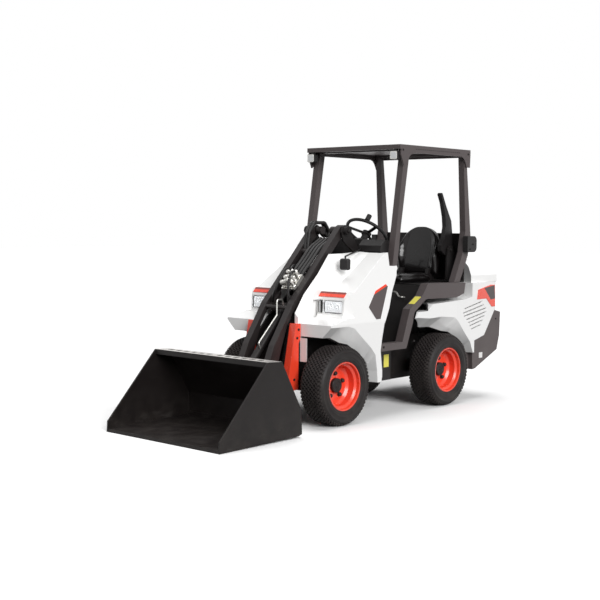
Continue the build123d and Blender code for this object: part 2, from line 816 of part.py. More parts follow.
# Wheels
WHEELS = [
    ("front_left", AXLE_X, 1),
    ("front_right", AXLE_X, -1),
    ("rear_left", -AXLE_X, 1),
    ("rear_right", -AXLE_X, -1),
]
half_w = TYRE_W / 2
tyre_section = [
    (RIM_R, -half_w + 14),
    (215, -half_w),
    (258, -half_w + 4),
    (TYRE_R - 6, -half_w + 26),
    (TYRE_R, -half_w + 50),
    (TYRE_R, half_w - 50),
    (TYRE_R - 6, half_w - 26),
    (258, half_w - 4),
    (215, half_w),
    (RIM_R, half_w - 14),
]
rim_section = [
    (RIM_R, -half_w + 14),
    (RIM_R, half_w - 14),
    (168, half_w - 16),
    (164, half_w - 40),
    (148, half_w - 52),
    (146, -half_w + 115),
    (128, -half_w + 98),
    (60, -half_w + 98),
    (44, -half_w + 108),
    (44, -half_w + 70),
    (60, -half_w + 80),
    (140, -half_w + 80),
    (150, -half_w + 60),
    (168, -half_w + 20),
]


def revolved(section, x, y, side):
    # a ring about the wheel's axis; the section's second value points outwards
    points = [(x, y + side * v, AXLE_Z + r) for r, v in section]
    face = Face(Wire.make_polygon(points))
    return revolve(face, axis=Axis((x, y, AXLE_Z), (0, 1, 0)))


for name, x, side in WHEELS:
    y = side * TRACK_Y
    tyre = revolved(tyre_section, x, y, side)
    save("tyre_" + name, tyre)
    rim = revolved(rim_section, x, y, side)
    hub_a = y + side * (-half_w + 70)
    hub_b = y + side * (-half_w + 125)
    hub_in = side * (HUB_Y + GAP)
    centre = pin_y(x, AXLE_Z, min(hub_in, hub_b), max(hub_in, hub_b), 52)
    rim = rim + centre
    for k in range(5):
        a = math.radians(72 * k + 18)
        nut = pin_y(x + 88 * math.cos(a), AXLE_Z + 88 * math.sin(a), min(hub_a + side * 10, hub_a + side * 48), max(hub_a + side * 10, hub_a + side * 48), 11)
        rim = rim + nut
    save("rim_" + name, rim)

# Lift arm: two beams joined by the hinge tubes, an upper cross tube and a lower cross plate
beam_profile = [
    (300, 1440),
    (268, 1454),
    (238, 1440),
    (226, 1412),
    (240, 1384),
    (319, 1330),
    (529, 1104),
    (723, 926),
    (830, 822),
    (895, 720),
    (955, 560),
    (1020, 350),
    (1066, 165),
    (1075, 125),
    (1108, 108),
    (1140, 122),
    (1150, 160),
    (1128, 260),
    (1105, 380),
    (1080, 480),
    (1030, 590),
    (930, 735),
    (835, 880),
    (611, 1112),
]
beam = side_plate(beam_profile, BEAM_IN, BEAM_OUT)
upper_tube = pin_y(430, 1250, -BEAM_IN, BEAM_IN, 24)
lower_tube = pin_y(835, 850, -BEAM_IN, BEAM_IN, 15)
bucket_boss = pin_y(BUCKET_PIN[0], BUCKET_PIN[1], BEAM_IN, BEAM_OUT, 42)
beam = beam + bucket_boss
hinge_tube = pin_y(HINGE[0], HINGE[1], 45, BEAM_IN, 30) + pin_y(HINGE[0], HINGE[1], BEAM_OUT, TOWER_IN - GAP, 18)
tilt_ear = side_plate([(690, 965), (800, 860), (785, 820), (745, 808), (706, 830)], 88, BEAM_IN)
TILT_PIN_R = 15.0
HORN_IN = 34.0
tilt_pin = pin_y(TILT_BASE[0], TILT_BASE[1], -88, 88, TILT_PIN_R)
lift_arm = fuse(
    beam, mirrored(beam), upper_tube, lower_tube,
    hinge_tube, mirrored(hinge_tube), tilt_ear, mirrored(tilt_ear), tilt_pin,
)
save("lift_arm", lift_arm)

# Hydraulic coupler block between the beams with its hanging bracket and couplings
bracket = block(764, 776, 46, 88, 742, 935)
save("coupler_bracket", bracket)
across = Plane(origin=(690, 0, 1040), x_dir=(0, 1, 0), z_dir=(0.68, 0, 0.733))
manifold = across * Pos(36, 0, 0) * Box(2 * (BEAM_IN - 36), 96, 44)
couplings = manifold
COUPLING_ROWS = [
    # y, place along the block, length, collar place
    (80, 24, 58, 30),
    (44, 24, 66, 36),
    (8, 24, 58, 30),
    (80, -24, 50, 26),
    (44, -24, 58, 32),
    (8, -24, 50, 26),
]
for y, along, length, collar in COUPLING_ROWS:
    couplings = couplings + across * Pos(y, along, 20 + length / 2) * Cylinder(11, length)
    couplings = couplings + across * Pos(y, along, 20 + collar) * Cylinder(16, 14)
save("hydraulic_couplers", couplings)

# Hoses that loop over the arm's hinge on the right
HOSE_R = 13.0
HOSE_ROWS = [-60.0, -88.0]
hose_seat = pin_y(430, 1250, -BEAM_IN, BEAM_IN, 24) + pin_y(HINGE[0], HINGE[1], -BEAM_IN, -45, 30)
hoses = []
for y in HOSE_ROWS:
    hose = tube(
        [(428, y, 1262), (410, y, 1400), (355, y, 1470), (232, y, 1470), (178, y, 1405), (178, y, 1342), (258, y, 1400)],
        HOSE_R, 26,
    )
    hose = hose - hose_seat
    hoses.append(hose.solids().sort_by(SortBy.VOLUME)[-1])
save("arm_hoses", hoses)

# Lift cylinder

def cylinder_parts(base, eye, y, barrel_r, rod_r, barrel_len, rod_start, eye_r, eye_half):
    b = Vector(base[0], y, base[1])
    e = Vector(eye[0], y, eye[1])
    along = (e - b).normalized()
    barrel_end = b + along * barrel_len
    barrel = rod(tuple(b + along * (eye_r * 0.6)), tuple(barrel_end), barrel_r)
    barrel = barrel + pin_y(base[0], base[1], y - eye_half, y + eye_half, eye_r)
    bore = rod(tuple(b + along * (eye_r + 18)), tuple(barrel_end + along), rod_r + 0.6)
    barrel = barrel - bore
    piston_rod = rod(tuple(b + along * rod_start), tuple(e), rod_r)
    piston_rod = piston_rod + pin_y(eye[0], eye[1], y - eye_half, y + eye_half, eye_r)
    return barrel, piston_rod


lift_barrel, lift_rod = cylinder_parts(LIFT_BASE, LIFT_EYE, 0.0, 38, 20, 700, 62, 36, LIFT_EAR_IN - GAP)
pin_half = BEAM_IN - GAP
lift_rod = lift_rod + pin_y(LIFT_EYE[0], LIFT_EYE[1], -pin_half, pin_half, 15)
save("lift_cylinder_barrel", lift_barrel)
save("lift_cylinder_rod", lift_rod)

# Tilt cylinder
tilt_barrel, tilt_rod = cylinder_parts(TILT_BASE, TILT_EYE, 0.0, 28, 15, 515, 140, 28, HORN_IN - GAP)
tilt_barrel = tilt_barrel - pin_y(TILT_BASE[0], TILT_BASE[1], -200, 200, TILT_PIN_R + GAP)
save("tilt_cylinder_barrel", tilt_barrel)
tilt_line = tube([(1038, 28, 562), (1058, 30, 602), (865, 30, 794), (866, 30, 905), (812, 30, 905), (775, 20, 846)], 6, 14)
tilt_line = tilt_line - tilt_barrel
save("tilt_line", tilt_line.solids().sort_by(SortBy.VOLUME)[-1])
save("tilt_cylinder_rod", tilt_rod)

# Coupler frame between the arm and the bucket, with ears for the tilt rod
BACK_A = Vector(1197, 0, 207)
BACK_B = Vector(1388, 0, 542)
back_dir = (BACK_B - BACK_A).normalized()
back_out = Vector(-back_dir.Z, 0, back_dir.X)


def off_back(along, out):
    p = BACK_A + back_dir * along + back_out * out
    return (p.X, p.Z)


side_ear = side_plate(
    [
        (1078, 135),
        (1108, 112),
        (1150, 120),
        (1183, 150),
        off_back(0, 0),
        off_back(330, 0),
        off_back(330, 30),
        off_back(200, 70),
        (1140, 260),
        (1080, 175),
    ],
    66, 94,
)
ear_profile = [off_back(60, 0), off_back(330, 0), off_back(320, 40), (1195, 402), (1170, 396), (1157, 372), (1166, 345), (1180, 300)]
tilt_horn = side_plate(ear_profile, HORN_IN, HORN_IN + 16)
top_bar = side_plate([off_back(300, 0), off_back(330, 0), off_back(330, 30), off_back(300, 30)], -300, 300)
low_bar = side_plate([off_back(20, 0), off_back(58, 0), off_back(58, 22), off_back(20, 22)], -300, 300)
end_post = side_plate([off_back(20, 0), off_back(330, 0), off_back(330, 22), off_back(20, 22)], 270, 300)
bucket_pin = pin_y(BUCKET_PIN[0], BUCKET_PIN[1], 93, BEAM_IN - GAP, 24)
coupler = fuse(
    side_ear, mirrored(side_ear), bucket_pin, mirrored(bucket_pin),
    tilt_horn, mirrored(tilt_horn), top_bar, low_bar,
    end_post, mirrored(end_post),
)
save("coupler", coupler)

# Bucket: bent shell between two side plates with a cutting edge
BUCKET_Y = 565.0
bucket_outer = [
    (1972, 0),
    (1966, 22),
    (1240, 40),
    (1200, 60),
    (1205, 203),
    (1392, 530),
    (1527, 536),
    (1527, 548),
    (1388, 542),
    (1197, 207),
    (1182, 60),
    (1182, 24),
    (1215, 14),
]
bucket_shell = side_plate(bucket_outer, -BUCKET_Y, BUCKET_Y)
bucket_side = side_plate(
    [(1972, 0), (1968, 76), (1527, 548), (1388, 542), (1197, 207), (1182, 60), (1182, 24), (1215, 14)],
    BUCKET_Y - 12, BUCKET_Y,
)
top_lip = block(1500, 1527, -BUCKET_Y, BUCKET_Y, 512, 548)
bucket = fuse(bucket_shell, bucket_side, mirrored(bucket_side), top_lip)
save("bucket", bucket)

# Steering cylinder
s_base = Vector(STEER_BASE[0], STEER_BASE[1], STEER_Z)
s_eye = Vector(STEER_EYE[0], STEER_EYE[1], STEER_Z)
s_dir = (s_eye - s_base).normalized()
steer_barrel = rod(tuple(s_base + s_dir * 14), tuple(s_base + s_dir * 300), 24)
steer_barrel = steer_barrel + pin_z(STEER_BASE[0], STEER_BASE[1], STEER_Z - STEER_EYE_HALF, STEER_Z + STEER_EYE_HALF, 24)
steer_barrel = steer_barrel - rod(tuple(s_base + s_dir * 40), tuple(s_base + s_dir * 310), 12.6)
steer_rod = rod(tuple(s_base + s_dir * 180), tuple(s_eye), 12)
steer_rod = steer_rod + pin_z(STEER_EYE[0], STEER_EYE[1], STEER_Z - STEER_ROD_HALF, STEER_Z + STEER_ROD_HALF, 22)
save("steer_cylinder_barrel", steer_barrel)
save("steer_cylinder_rod", steer_rod)
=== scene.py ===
# %% [markdown]
# # Compact wheel loader
# A small articulated loader: a front half with the lift arm and the operator's place, and a rear half
# with the engine, joined by one upright pivot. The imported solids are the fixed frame. This lesson gives
# each solid its finish and adds what a solid model leaves out: tread, padding, plates, bolts and hoses.

# %% Load the frame
import json
import math

import bmesh
import bpy
from mathutils import Matrix, Vector


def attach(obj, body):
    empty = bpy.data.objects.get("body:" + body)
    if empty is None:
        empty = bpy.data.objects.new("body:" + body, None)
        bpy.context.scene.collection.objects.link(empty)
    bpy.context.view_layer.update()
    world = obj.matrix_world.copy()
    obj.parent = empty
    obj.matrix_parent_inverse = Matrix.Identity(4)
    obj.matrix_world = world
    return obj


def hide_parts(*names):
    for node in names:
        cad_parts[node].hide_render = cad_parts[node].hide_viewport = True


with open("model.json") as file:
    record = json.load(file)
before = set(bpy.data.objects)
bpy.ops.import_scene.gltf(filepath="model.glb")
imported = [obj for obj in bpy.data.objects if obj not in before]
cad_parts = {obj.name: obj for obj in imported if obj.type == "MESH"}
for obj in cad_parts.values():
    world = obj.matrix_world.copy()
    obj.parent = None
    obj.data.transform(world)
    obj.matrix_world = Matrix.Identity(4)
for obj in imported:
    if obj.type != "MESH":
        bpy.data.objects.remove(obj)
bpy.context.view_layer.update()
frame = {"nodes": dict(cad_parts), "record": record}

nodes = frame["nodes"]
slot_of = {part["node"]: part["material_slot"] for part in frame["record"]["subparts"]}
print(len(nodes), "nodes in the frame")

# %% [markdown]
# The solids are drawn from the steering pivot, in millimetres. The frame has its origin under the middle
# of the whole machine, so one small helper turns a drawn place into a place in the scene.

# %% Places in millimetres
PIVOT_SHIFT = -251.5


def place(x, y, z):
    return Vector(((x + PIVOT_SHIFT) / 1000, y / 1000, z / 1000))


LEFTWARD = Vector((0, 1, 0))
UPWARD = Vector((0, 0, 1))
AHEAD = Vector((1, 0, 0))
SIDES = ((1, "left"), (-1, "right"))
print("the pivot is at", tuple(round(v, 4) for v in place(0, 0, 0)))

# %% [markdown]
# ## Camera
# The camera stands where the photograph was taken: ahead of the machine, to its left, a little above the
# bonnet. Its turn is written as yaw, pitch and roll, which is easier to check than a matrix.

# %% Camera
LENS_PER_FRAME = 1146.9 / 600
SENSOR = 36.0
CAMERA_AT = place(7014, 5731.5, 1499.7)
YAW = math.radians(221.6915)
PITCH = math.radians(-4.0548)
ROLL = math.radians(0.4305)

camera_data = bpy.data.cameras.new("camera")
camera = bpy.data.objects.new("camera", camera_data)
bpy.context.scene.collection.objects.link(camera)
camera_data.sensor_width = SENSOR
camera_data.lens = LENS_PER_FRAME * SENSOR
look = Vector((math.cos(YAW) * math.cos(PITCH), math.sin(YAW) * math.cos(PITCH), math.sin(PITCH)))
level_right = look.cross(UPWARD).normalized()
level_up = level_right.cross(look)
rolled_right = level_right * math.cos(ROLL) + level_up * math.sin(ROLL)
rolled_up = level_up * math.cos(ROLL) - level_right * math.sin(ROLL)
turn = Matrix((rolled_right, rolled_up, -look)).transposed().to_4x4()
camera.matrix_world = Matrix.Translation(CAMERA_AT) @ turn
bpy.context.scene.camera = camera
print("camera lens", round(camera_data.lens, 1), "mm")

# %% [markdown]
# ## Floor and light
# The photograph is a bright studio picture on white, with a soft shadow under the machine. A dim even sky
# lights every side, a broad sun overhead lays the shadow under the machine, and a broad low sun from the
# left, like a wall of soft boxes, gives the shapes their shade. Both the floor and the sky have two
# answers: bright where they are looked at, directly, through glass or in a mirror, and dimmer as a source
# of light, so that the undersides of the machine stay dark.

# %% Node helpers
def add_node(tree, kind, operation=None, **values):
    node = tree.nodes.new("ShaderNode" + kind)
    if operation:
        node.operation = operation
    for label, value in values.items():
        node.inputs[label.replace("_", " ")].default_value = value
    return node


def add_colour_mix(tree):
    mix = tree.nodes.new("ShaderNodeMix")
    mix.data_type = "RGBA"
    return mix


def link(tree, *pairs):
    for source, target in pairs:
        tree.links.new(source, target)


# %% Who looks at the background
def choose_by_view(tree, dim, bright, output):
    rays = add_node(tree, "LightPath")
    direct = add_node(tree, "Math", "MAXIMUM")
    seen = add_node(tree, "Math", "MAXIMUM")
    choose = add_node(tree, "MixShader")
    link(
        tree,
        (rays.outputs["Is Camera Ray"], direct.inputs[0]),
        (rays.outputs["Is Transmission Ray"], direct.inputs[1]),
        (direct.outputs[0], seen.inputs[0]),
        (rays.outputs["Is Glossy Ray"], seen.inputs[1]),
        (seen.outputs[0], choose.inputs["Fac"]),
        (dim.outputs[0], choose.inputs[1]),
        (bright.outputs[0], choose.inputs[2]),
        (choose.outputs[0], output.inputs["Surface"]),
    )


# %% Floor
FLOOR_WIDTH = 80
SEEN_FLOOR = (1.0, 1.0, 1.0, 1)
BOUNCE_FLOOR = (0.08, 0.08, 0.08, 1)
FLOOR_ROUGHNESS = 0.9

bpy.ops.mesh.primitive_plane_add(size=FLOOR_WIDTH)
floor = bpy.context.object
floor.name = "floor"
floor_material = bpy.data.materials.new("white_floor")
floor_material.use_nodes = True
floor_tree = floor_material.node_tree
seen_floor = floor_tree.nodes["Principled BSDF"]
seen_floor.inputs["Base Color"].default_value = SEEN_FLOOR
bounce_floor = add_node(floor_tree, "BsdfPrincipled", Base_Color=BOUNCE_FLOOR)
for shader in (seen_floor, bounce_floor):
    shader.inputs["Roughness"].default_value = FLOOR_ROUGHNESS
    shader.inputs["Specular IOR Level"].default_value = 0.0
choose_by_view(floor_tree, bounce_floor, seen_floor, floor_tree.nodes["Material Output"])
floor.data.materials.append(floor_material)
print("floor", floor.dimensions.x, "m wide")

# %% Sky and suns
WHITE = (1, 1, 1, 1)
SEEN_SKY = 1.0
SKY_LIGHT = 0.18
# name, strength, softness in degrees, where it comes from
SUNS = [
    ("ceiling_sun", 1.75, 44, Vector((-0.05, -0.10, 1.0))),
    ("side_sun", 3.05, 34, Vector((0.36, 0.84, 0.44))),
]

world = bpy.data.worlds.new("white_studio")
bpy.context.scene.world = world
world.use_nodes = True
sky_tree = world.node_tree
sky_tree.nodes.clear()
seen_white = add_node(sky_tree, "Background", Color=WHITE, Strength=SEEN_SKY)
even_light = add_node(sky_tree, "Background", Color=WHITE, Strength=SKY_LIGHT)
choose_by_view(sky_tree, even_light, seen_white, add_node(sky_tree, "OutputWorld"))

for name, strength, softness, comes_from in SUNS:
    sun_data = bpy.data.lights.new(name, "SUN")
    sun_data.energy = strength
    sun_data.angle = math.radians(softness)
    sun = bpy.data.objects.new(name, sun_data)
    bpy.context.scene.collection.objects.link(sun)
    sun.rotation_euler = comes_from.to_track_quat("Z", "Y").to_euler()
bpy.context.scene.view_settings.view_transform = "Standard"
print("sky", SKY_LIGHT, "and", len(SUNS), "suns")

# %% [markdown]
# ## Effects shared by the finishes
# Paint, plastic and rubber all show the same few things: a fine relief, edges that are softly rounded and
# rubbed brighter, and dust that settles low on the machine. Each is a node group with named inputs, so a
# finish only says how much of it there is.

# %% Node group helper
COLOUR = "NodeSocketColor"
NUMBER = "NodeSocketFloat"
VECTOR = "NodeSocketVector"


def new_group(name, inputs, outputs):
    group = bpy.data.node_groups.new(name, "ShaderNodeTree")
    for label, kind, value in inputs:
        socket = group.interface.new_socket(label, in_out="INPUT", socket_type=kind)
        socket.default_value = value
    for label, kind in outputs:
        group.interface.new_socket(label, in_out="OUTPUT", socket_type=kind)
    return group, group.nodes.new("NodeGroupInput"), group.nodes.new("NodeGroupOutput")


# %% Fine relief group
relief_group, relief_in, relief_out = new_group(
    "fine_relief",
    [("Grain Size", NUMBER, 400.0), ("Roughness Low", NUMBER, 0.4), ("Roughness High", NUMBER, 0.5)],
    [("Height", NUMBER), ("Roughness", NUMBER)],
)
part_place = add_node(relief_group, "TexCoord")
grain = add_node(relief_group, "TexNoise", Detail=2.0)
patches = add_node(relief_group, "TexNoise", Scale=7.0, Detail=3.0)
spread = add_node(relief_group, "MapRange", From_Min=0.3, From_Max=0.7)
link(
    relief_group,
    (part_place.outputs["Object"], grain.inputs["Vector"]),
    (part_place.outputs["Object"], patches.inputs["Vector"]),
    (relief_in.outputs["Grain Size"], grain.inputs["Scale"]),
    (patches.outputs["Fac"], spread.inputs["Value"]),
    (relief_in.outputs["Roughness Low"], spread.inputs["To Min"]),
    (relief_in.outputs["Roughness High"], spread.inputs["To Max"]),
    (grain.outputs["Fac"], relief_out.inputs["Height"]),
    (spread.outputs["Result"], relief_out.inputs["Roughness"]),
)
print("group", relief_group.name)

# %% [markdown]
# Rubbed edges compare the rounded normal of a Bevel node with the true one: they differ only close to an
# edge. The rounded normal is put out as well, which takes the hard look off plates that were cut square.

# %% Rubbed edges group
BEVEL_SAMPLES = 4
edge_group, edge_in, edge_out = new_group(
    "rubbed_edges",
    [("Paint", COLOUR, (0.5, 0.5, 0.5, 1)), ("Bare", COLOUR, (0.4, 0.4, 0.4, 1)),
     ("Width", NUMBER, 0.002), ("Amount", NUMBER, 0.5)],
    [("Color", COLOUR), ("Mask", NUMBER), ("Normal", VECTOR)],
)
rounded = add_node(edge_group, "Bevel")
rounded.samples = BEVEL_SAMPLES
true_normal = add_node(edge_group, "NewGeometry")
alike = add_node(edge_group, "VectorMath", "DOT_PRODUCT")
differ = add_node(edge_group, "MapRange", From_Min=0.99, From_Max=0.86)
edge_place = add_node(edge_group, "TexCoord")
broken = add_node(edge_group, "TexNoise", Scale=60.0, Detail=4.0)
breaks = add_node(edge_group, "MapRange", From_Min=0.42, From_Max=0.62)
worn = add_node(edge_group, "Math", "MULTIPLY")
strength = add_node(edge_group, "Math", "MULTIPLY")
edge_mix = add_colour_mix(edge_group)
link(
    edge_group,
    (edge_in.outputs["Width"], rounded.inputs["Radius"]),
    (rounded.outputs["Normal"], alike.inputs[0]),
    (true_normal.outputs["Normal"], alike.inputs[1]),
    (alike.outputs["Value"], differ.inputs["Value"]),
    (edge_place.outputs["Object"], broken.inputs["Vector"]),
    (broken.outputs["Fac"], breaks.inputs["Value"]),
    (differ.outputs["Result"], worn.inputs[0]),
    (breaks.outputs["Result"], worn.inputs[1]),
    (worn.outputs[0], strength.inputs[0]),
    (edge_in.outputs["Amount"], strength.inputs[1]),
    (strength.outputs[0], edge_mix.inputs["Factor"]),
    (edge_in.outputs["Paint"], edge_mix.inputs["A"]),
    (edge_in.outputs["Bare"], edge_mix.inputs["B"]),
    (edge_mix.outputs["Result"], edge_out.inputs["Color"]),
    (strength.outputs[0], edge_out.inputs["Mask"]),
    (rounded.outputs["Normal"], edge_out.inputs["Normal"]),
)
print("group", edge_group.name)

# %% [markdown]
# Dust lies thickest near the ground and thins out upwards, in clouds, so a height and a coarse noise are
# multiplied.

# %% Settled dust group
dust_group, dust_in, dust_out = new_group(
    "settled_dust",
    [("Paint", COLOUR, (0.5, 0.5, 0.5, 1)), ("Dust", COLOUR, (0.35, 0.31, 0.27, 1)),
     ("Reach", NUMBER, 0.9), ("Amount", NUMBER, 0.3)],
    [("Color", COLOUR), ("Mask", NUMBER)],
)
dust_place = add_node(dust_group, "TexCoord")
split = add_node(dust_group, "SeparateXYZ")
low = add_node(dust_group, "MapRange", From_Min=0.0, To_Min=1.0, To_Max=0.0)
cloud = add_node(dust_group, "TexNoise", Scale=11.0, Detail=6.0)
cloud_range = add_node(dust_group, "MapRange", From_Min=0.35, From_Max=0.75)
lower = add_node(dust_group, "Math", "MULTIPLY")
dust_amount = add_node(dust_group, "Math", "MULTIPLY")
dust_mix = add_colour_mix(dust_group)
link(
    dust_group,
    (dust_place.outputs["Object"], split.inputs[0]),
    (split.outputs["Z"], low.inputs["Value"]),
    (dust_in.outputs["Reach"], low.inputs["From Max"]),
    (dust_place.outputs["Object"], cloud.inputs["Vector"]),
    (cloud.outputs["Fac"], cloud_range.inputs["Value"]),
    (low.outputs["Result"], lower.inputs[0]),
    (cloud_range.outputs["Result"], lower.inputs[1]),
    (lower.outputs[0], dust_amount.inputs[0]),
    (dust_in.outputs["Amount"], dust_amount.inputs[1]),
    (dust_amount.outputs[0], dust_mix.inputs["Factor"]),
    (dust_in.outputs["Paint"], dust_mix.inputs["A"]),
    (dust_in.outputs["Dust"], dust_mix.inputs["B"]),
    (dust_mix.outputs["Result"], dust_out.inputs["Color"]),
    (dust_amount.outputs[0], dust_out.inputs["Mask"]),
)
print("group", dust_group.name)

# %% [markdown]
# ## Finishes
# Every finish is one Principled shader fed by the three groups. Values that are the same all over, such
# as metallic or coat, sit on the shader itself.

# %% Finish helper
BUMP_DISTANCE = 0.002


def add_group(material, group, **values):
    node = add_node(material.node_tree, "Group")
    node.node_tree = group
    for label, value in values.items():
        node.inputs[label.replace("_", " ")].default_value = value
    return node


def finish(name, colour, rough, relief=(400.0, 0.03), metal=0.0, coat=0.0, shine=0.5, bare=None,
           edge=0.0, edge_width=0.002, dust=0.0, dust_reach=0.9):
    material = bpy.data.materials.new(name)
    material.use_nodes = True
    tree = material.node_tree
    shader = tree.nodes["Principled BSDF"]
    shader.inputs["Metallic"].default_value = metal
    shader.inputs["Coat Weight"].default_value = coat
    shader.inputs["Specular IOR Level"].default_value = shine
    fine = add_group(material, relief_group, Grain_Size=relief[0], Roughness_Low=rough[0],
                     Roughness_High=rough[1])
    edges = add_group(material, edge_group, Paint=(*colour, 1), Bare=(*(bare or colour), 1),
                      Width=edge_width, Amount=edge)
    dusty = add_group(material, dust_group, Reach=dust_reach, Amount=dust)
    bump = add_node(tree, "Bump", Strength=relief[1], Distance=BUMP_DISTANCE)
    link(
        tree,
        (edges.outputs["Color"], dusty.inputs["Paint"]),
        (dusty.outputs["Color"], shader.inputs["Base Color"]),
        (fine.outputs["Roughness"], shader.inputs["Roughness"]),
        (fine.outputs["Height"], bump.inputs["Height"]),
        (edges.outputs["Normal"], bump.inputs["Normal"]),
        (bump.outputs["Normal"], shader.inputs["Normal"]),
    )
    return material


# %% The machine's finishes
SIGNAL_RED = (0.84, 0.058, 0.024)
finishes = {
    "white_body": finish("white_gel_paint", (0.87, 0.867, 0.86), (0.2, 0.25), relief=(1400.0, 0.005),
                         coat=0.3, edge_width=0.005, dust=0.04, dust_reach=0.5),
    "dark_frame": finish("warm_grey_paint", (0.080, 0.066, 0.066), (0.40, 0.5), relief=(900.0, 0.04),
                         shine=0.3, bare=(0.20, 0.18, 0.18), edge=0.3, edge_width=0.0025, dust=0.08),
    "black_metal": finish("black_frame_paint", (0.010, 0.0085, 0.0085), (0.36, 0.5),
                          relief=(900.0, 0.04), shine=0.2, bare=(0.07, 0.065, 0.065), edge=0.35,
                          edge_width=0.002, dust=0.05),
    "accent_red": finish("signal_red_paint", SIGNAL_RED, (0.22, 0.32), relief=(1000.0, 0.012),
                         coat=0.25, edge_width=0.002, dust=0.05, dust_reach=0.5),
    "black_plastic": finish("black_moulding", (0.010, 0.0088, 0.009), (0.40, 0.52),
                            relief=(1500.0, 0.10), shine=0.3, edge_width=0.003),
    "tyre_rubber": finish("tyre_rubber", (0.011, 0.009, 0.009), (0.5, 0.65), relief=(350.0, 0.12),
                          shine=0.22, dust=0.07, dust_reach=0.6, edge_width=0.0012),
    "chromed_rod": finish("polished_rod", (0.62, 0.62, 0.63), (0.08, 0.16), relief=(300.0, 0.01),
                          metal=1.0),
    "plated_steel": finish("zinc_plating", (0.60, 0.59, 0.56), (0.25, 0.4), relief=(500.0, 0.05),
                           metal=0.85, edge_width=0.001),
    "engine_cast": finish("cast_block", (0.05, 0.05, 0.05), (0.6, 0.75), relief=(260.0, 0.4),
                          shine=0.3, dust=0.15, dust_reach=1.0),
    "hose_rubber": finish("hose_rubber", (0.011, 0.010, 0.010), (0.42, 0.55), relief=(600.0, 0.12),
                          shine=0.35),
    "seat_vinyl": finish("seat_vinyl", (0.006, 0.005, 0.005), (0.20, 0.28), relief=(620.0, 0.08),
                         shine=0.3, coat=0.2, edge_width=0.001),
}
tread_rubber = finish("scuffed_tread_rubber", (0.024, 0.020, 0.0195), (0.6, 0.75), relief=(500.0, 0.2),
                      shine=0.2, bare=(0.070, 0.060, 0.058), edge=0.8, edge_width=0.0022, dust=0.08,
                      dust_reach=0.6)
arm_paint = finish("dark_arm_paint", (0.018, 0.0145, 0.0145), (0.38, 0.5), relief=(900.0, 0.04),
                   shine=0.3, bare=(0.12, 0.11, 0.11), edge=0.4, edge_width=0.0025, dust=0.05)
# Painted shade: a near-black finish for flat plates that stand where one looks into the dark inside of a
# slot.
painted_shade_finish = finish("painted_shade_opening", (0.004, 0.004, 0.004), (0.7, 0.85), relief=(300.0, 0.05), shine=0.1)
# A pale steel, used for the lighter strip on the bucket's top edge.
lip_steel = finish("pale_lip_steel", (0.52, 0.50, 0.48), (0.3, 0.5), relief=(260.0, 0.25), metal=0.6,
                    bare=(0.66, 0.65, 0.63), edge=0.5, edge_width=0.0015)
satin_white = finish("satin_white_reflector", (0.74, 0.75, 0.76), (0.25, 0.4), relief=(500.0, 0.05),
                     metal=0.15)
print(len(finishes), "finishes")

# %% [markdown]
# The lamp glass is thin and clear, so it bends light very little: a low index of refraction stands for
# that, because the solid behind it is thicker than the real shell. Fine dust makes it a touch uneven.

# %% Lamp glass
glass = bpy.data.materials.new("lamp_glass")
glass.use_nodes = True
glass_shader = glass.node_tree.nodes["Principled BSDF"]
glass_shader.inputs["Base Color"].default_value = (0.96, 0.97, 0.98, 1)
glass_shader.inputs["Transmission Weight"].default_value = 0.92
glass_shader.inputs["IOR"].default_value = 1.04
glass_dust = add_group(glass, relief_group, Grain_Size=300.0, Roughness_Low=0.0, Roughness_High=0.04)
link(glass.node_tree, (glass_dust.outputs["Roughness"], glass_shader.inputs["Roughness"]))
finishes["clear_lens"] = glass
print("lamp glass bends light by", glass_shader.inputs["IOR"].default_value)

# %% [markdown]
# Some finishes carry a second colour in places. One helper mixes it in wherever a mask is bright.

# %% Second colour helper
def paint_over(material, colour, mask):
    tree = material.node_tree
    shader = tree.nodes["Principled BSDF"]
    before = shader.inputs["Base Color"].links[0].from_socket
    blend = add_colour_mix(tree)
    blend.inputs["B"].default_value = (*colour, 1)
    link(
        tree,
        (mask, blend.inputs["Factor"]),
        (before, blend.inputs["A"]),
        (blend.outputs["Result"], shader.inputs["Base Color"]),
    )


# %% [markdown]
# The bucket is the most used steel on the machine: black paint, scraped by soil inside and along the
# cutting edge. Its finish mixes in bare steel towards the ground with stretched noise, so the scrapes run
# the way the bucket digs.

# %% Scraped bucket paint
SCRAPE_STRETCH = (3.0, 40.0, 9.0)


def scraped_finish(name, paint, steel, rough):
    material = finish(name, paint, rough, relief=(700.0, 0.05), shine=0.2, bare=steel, edge=0.6,
                      edge_width=0.003, dust=0.04, dust_reach=0.3)
    tree = material.node_tree
    spot = add_node(tree, "TexCoord")
    stretch = add_node(tree, "Mapping", Scale=SCRAPE_STRETCH)
    scratches = add_node(tree, "TexNoise", Scale=2.2, Detail=8.0)
    pick = add_node(tree, "MapRange", From_Min=0.60, From_Max=0.76, To_Max=0.45)
    parts = add_node(tree, "SeparateXYZ")
    height = add_node(tree, "MapRange", From_Min=0.0, From_Max=0.16, To_Min=1.0, To_Max=0.12)
    both = add_node(tree, "Math", "MULTIPLY")
    link(
        tree,
        (spot.outputs["Object"], stretch.inputs["Vector"]),
        (stretch.outputs["Vector"], scratches.inputs["Vector"]),
        (scratches.outputs["Fac"], pick.inputs["Value"]),
        (spot.outputs["Object"], parts.inputs[0]),
        (parts.outputs["Z"], height.inputs["Value"]),
        (pick.outputs["Result"], both.inputs[0]),
        (height.outputs["Result"], both.inputs[1]),
    )
    paint_over(material, steel, both.outputs[0])
    return material


bucket_paint = scraped_finish("scraped_black_paint", (0.0095, 0.0075, 0.0072), (0.06, 0.055, 0.052),
                              (0.34, 0.48))
print("finish", bucket_paint.name)

# %% [markdown]
# A badge on the front body is a dark panel whose upper edge is red. The edge is a straight line across
# the plate, so a plane through two of its corners divides the colours. The red stripe above each lamp has
# a darker upper band in the same way.

# %% Badge and stripe finishes
STRIPE_SHADE = (0.22, 0.030, 0.022)


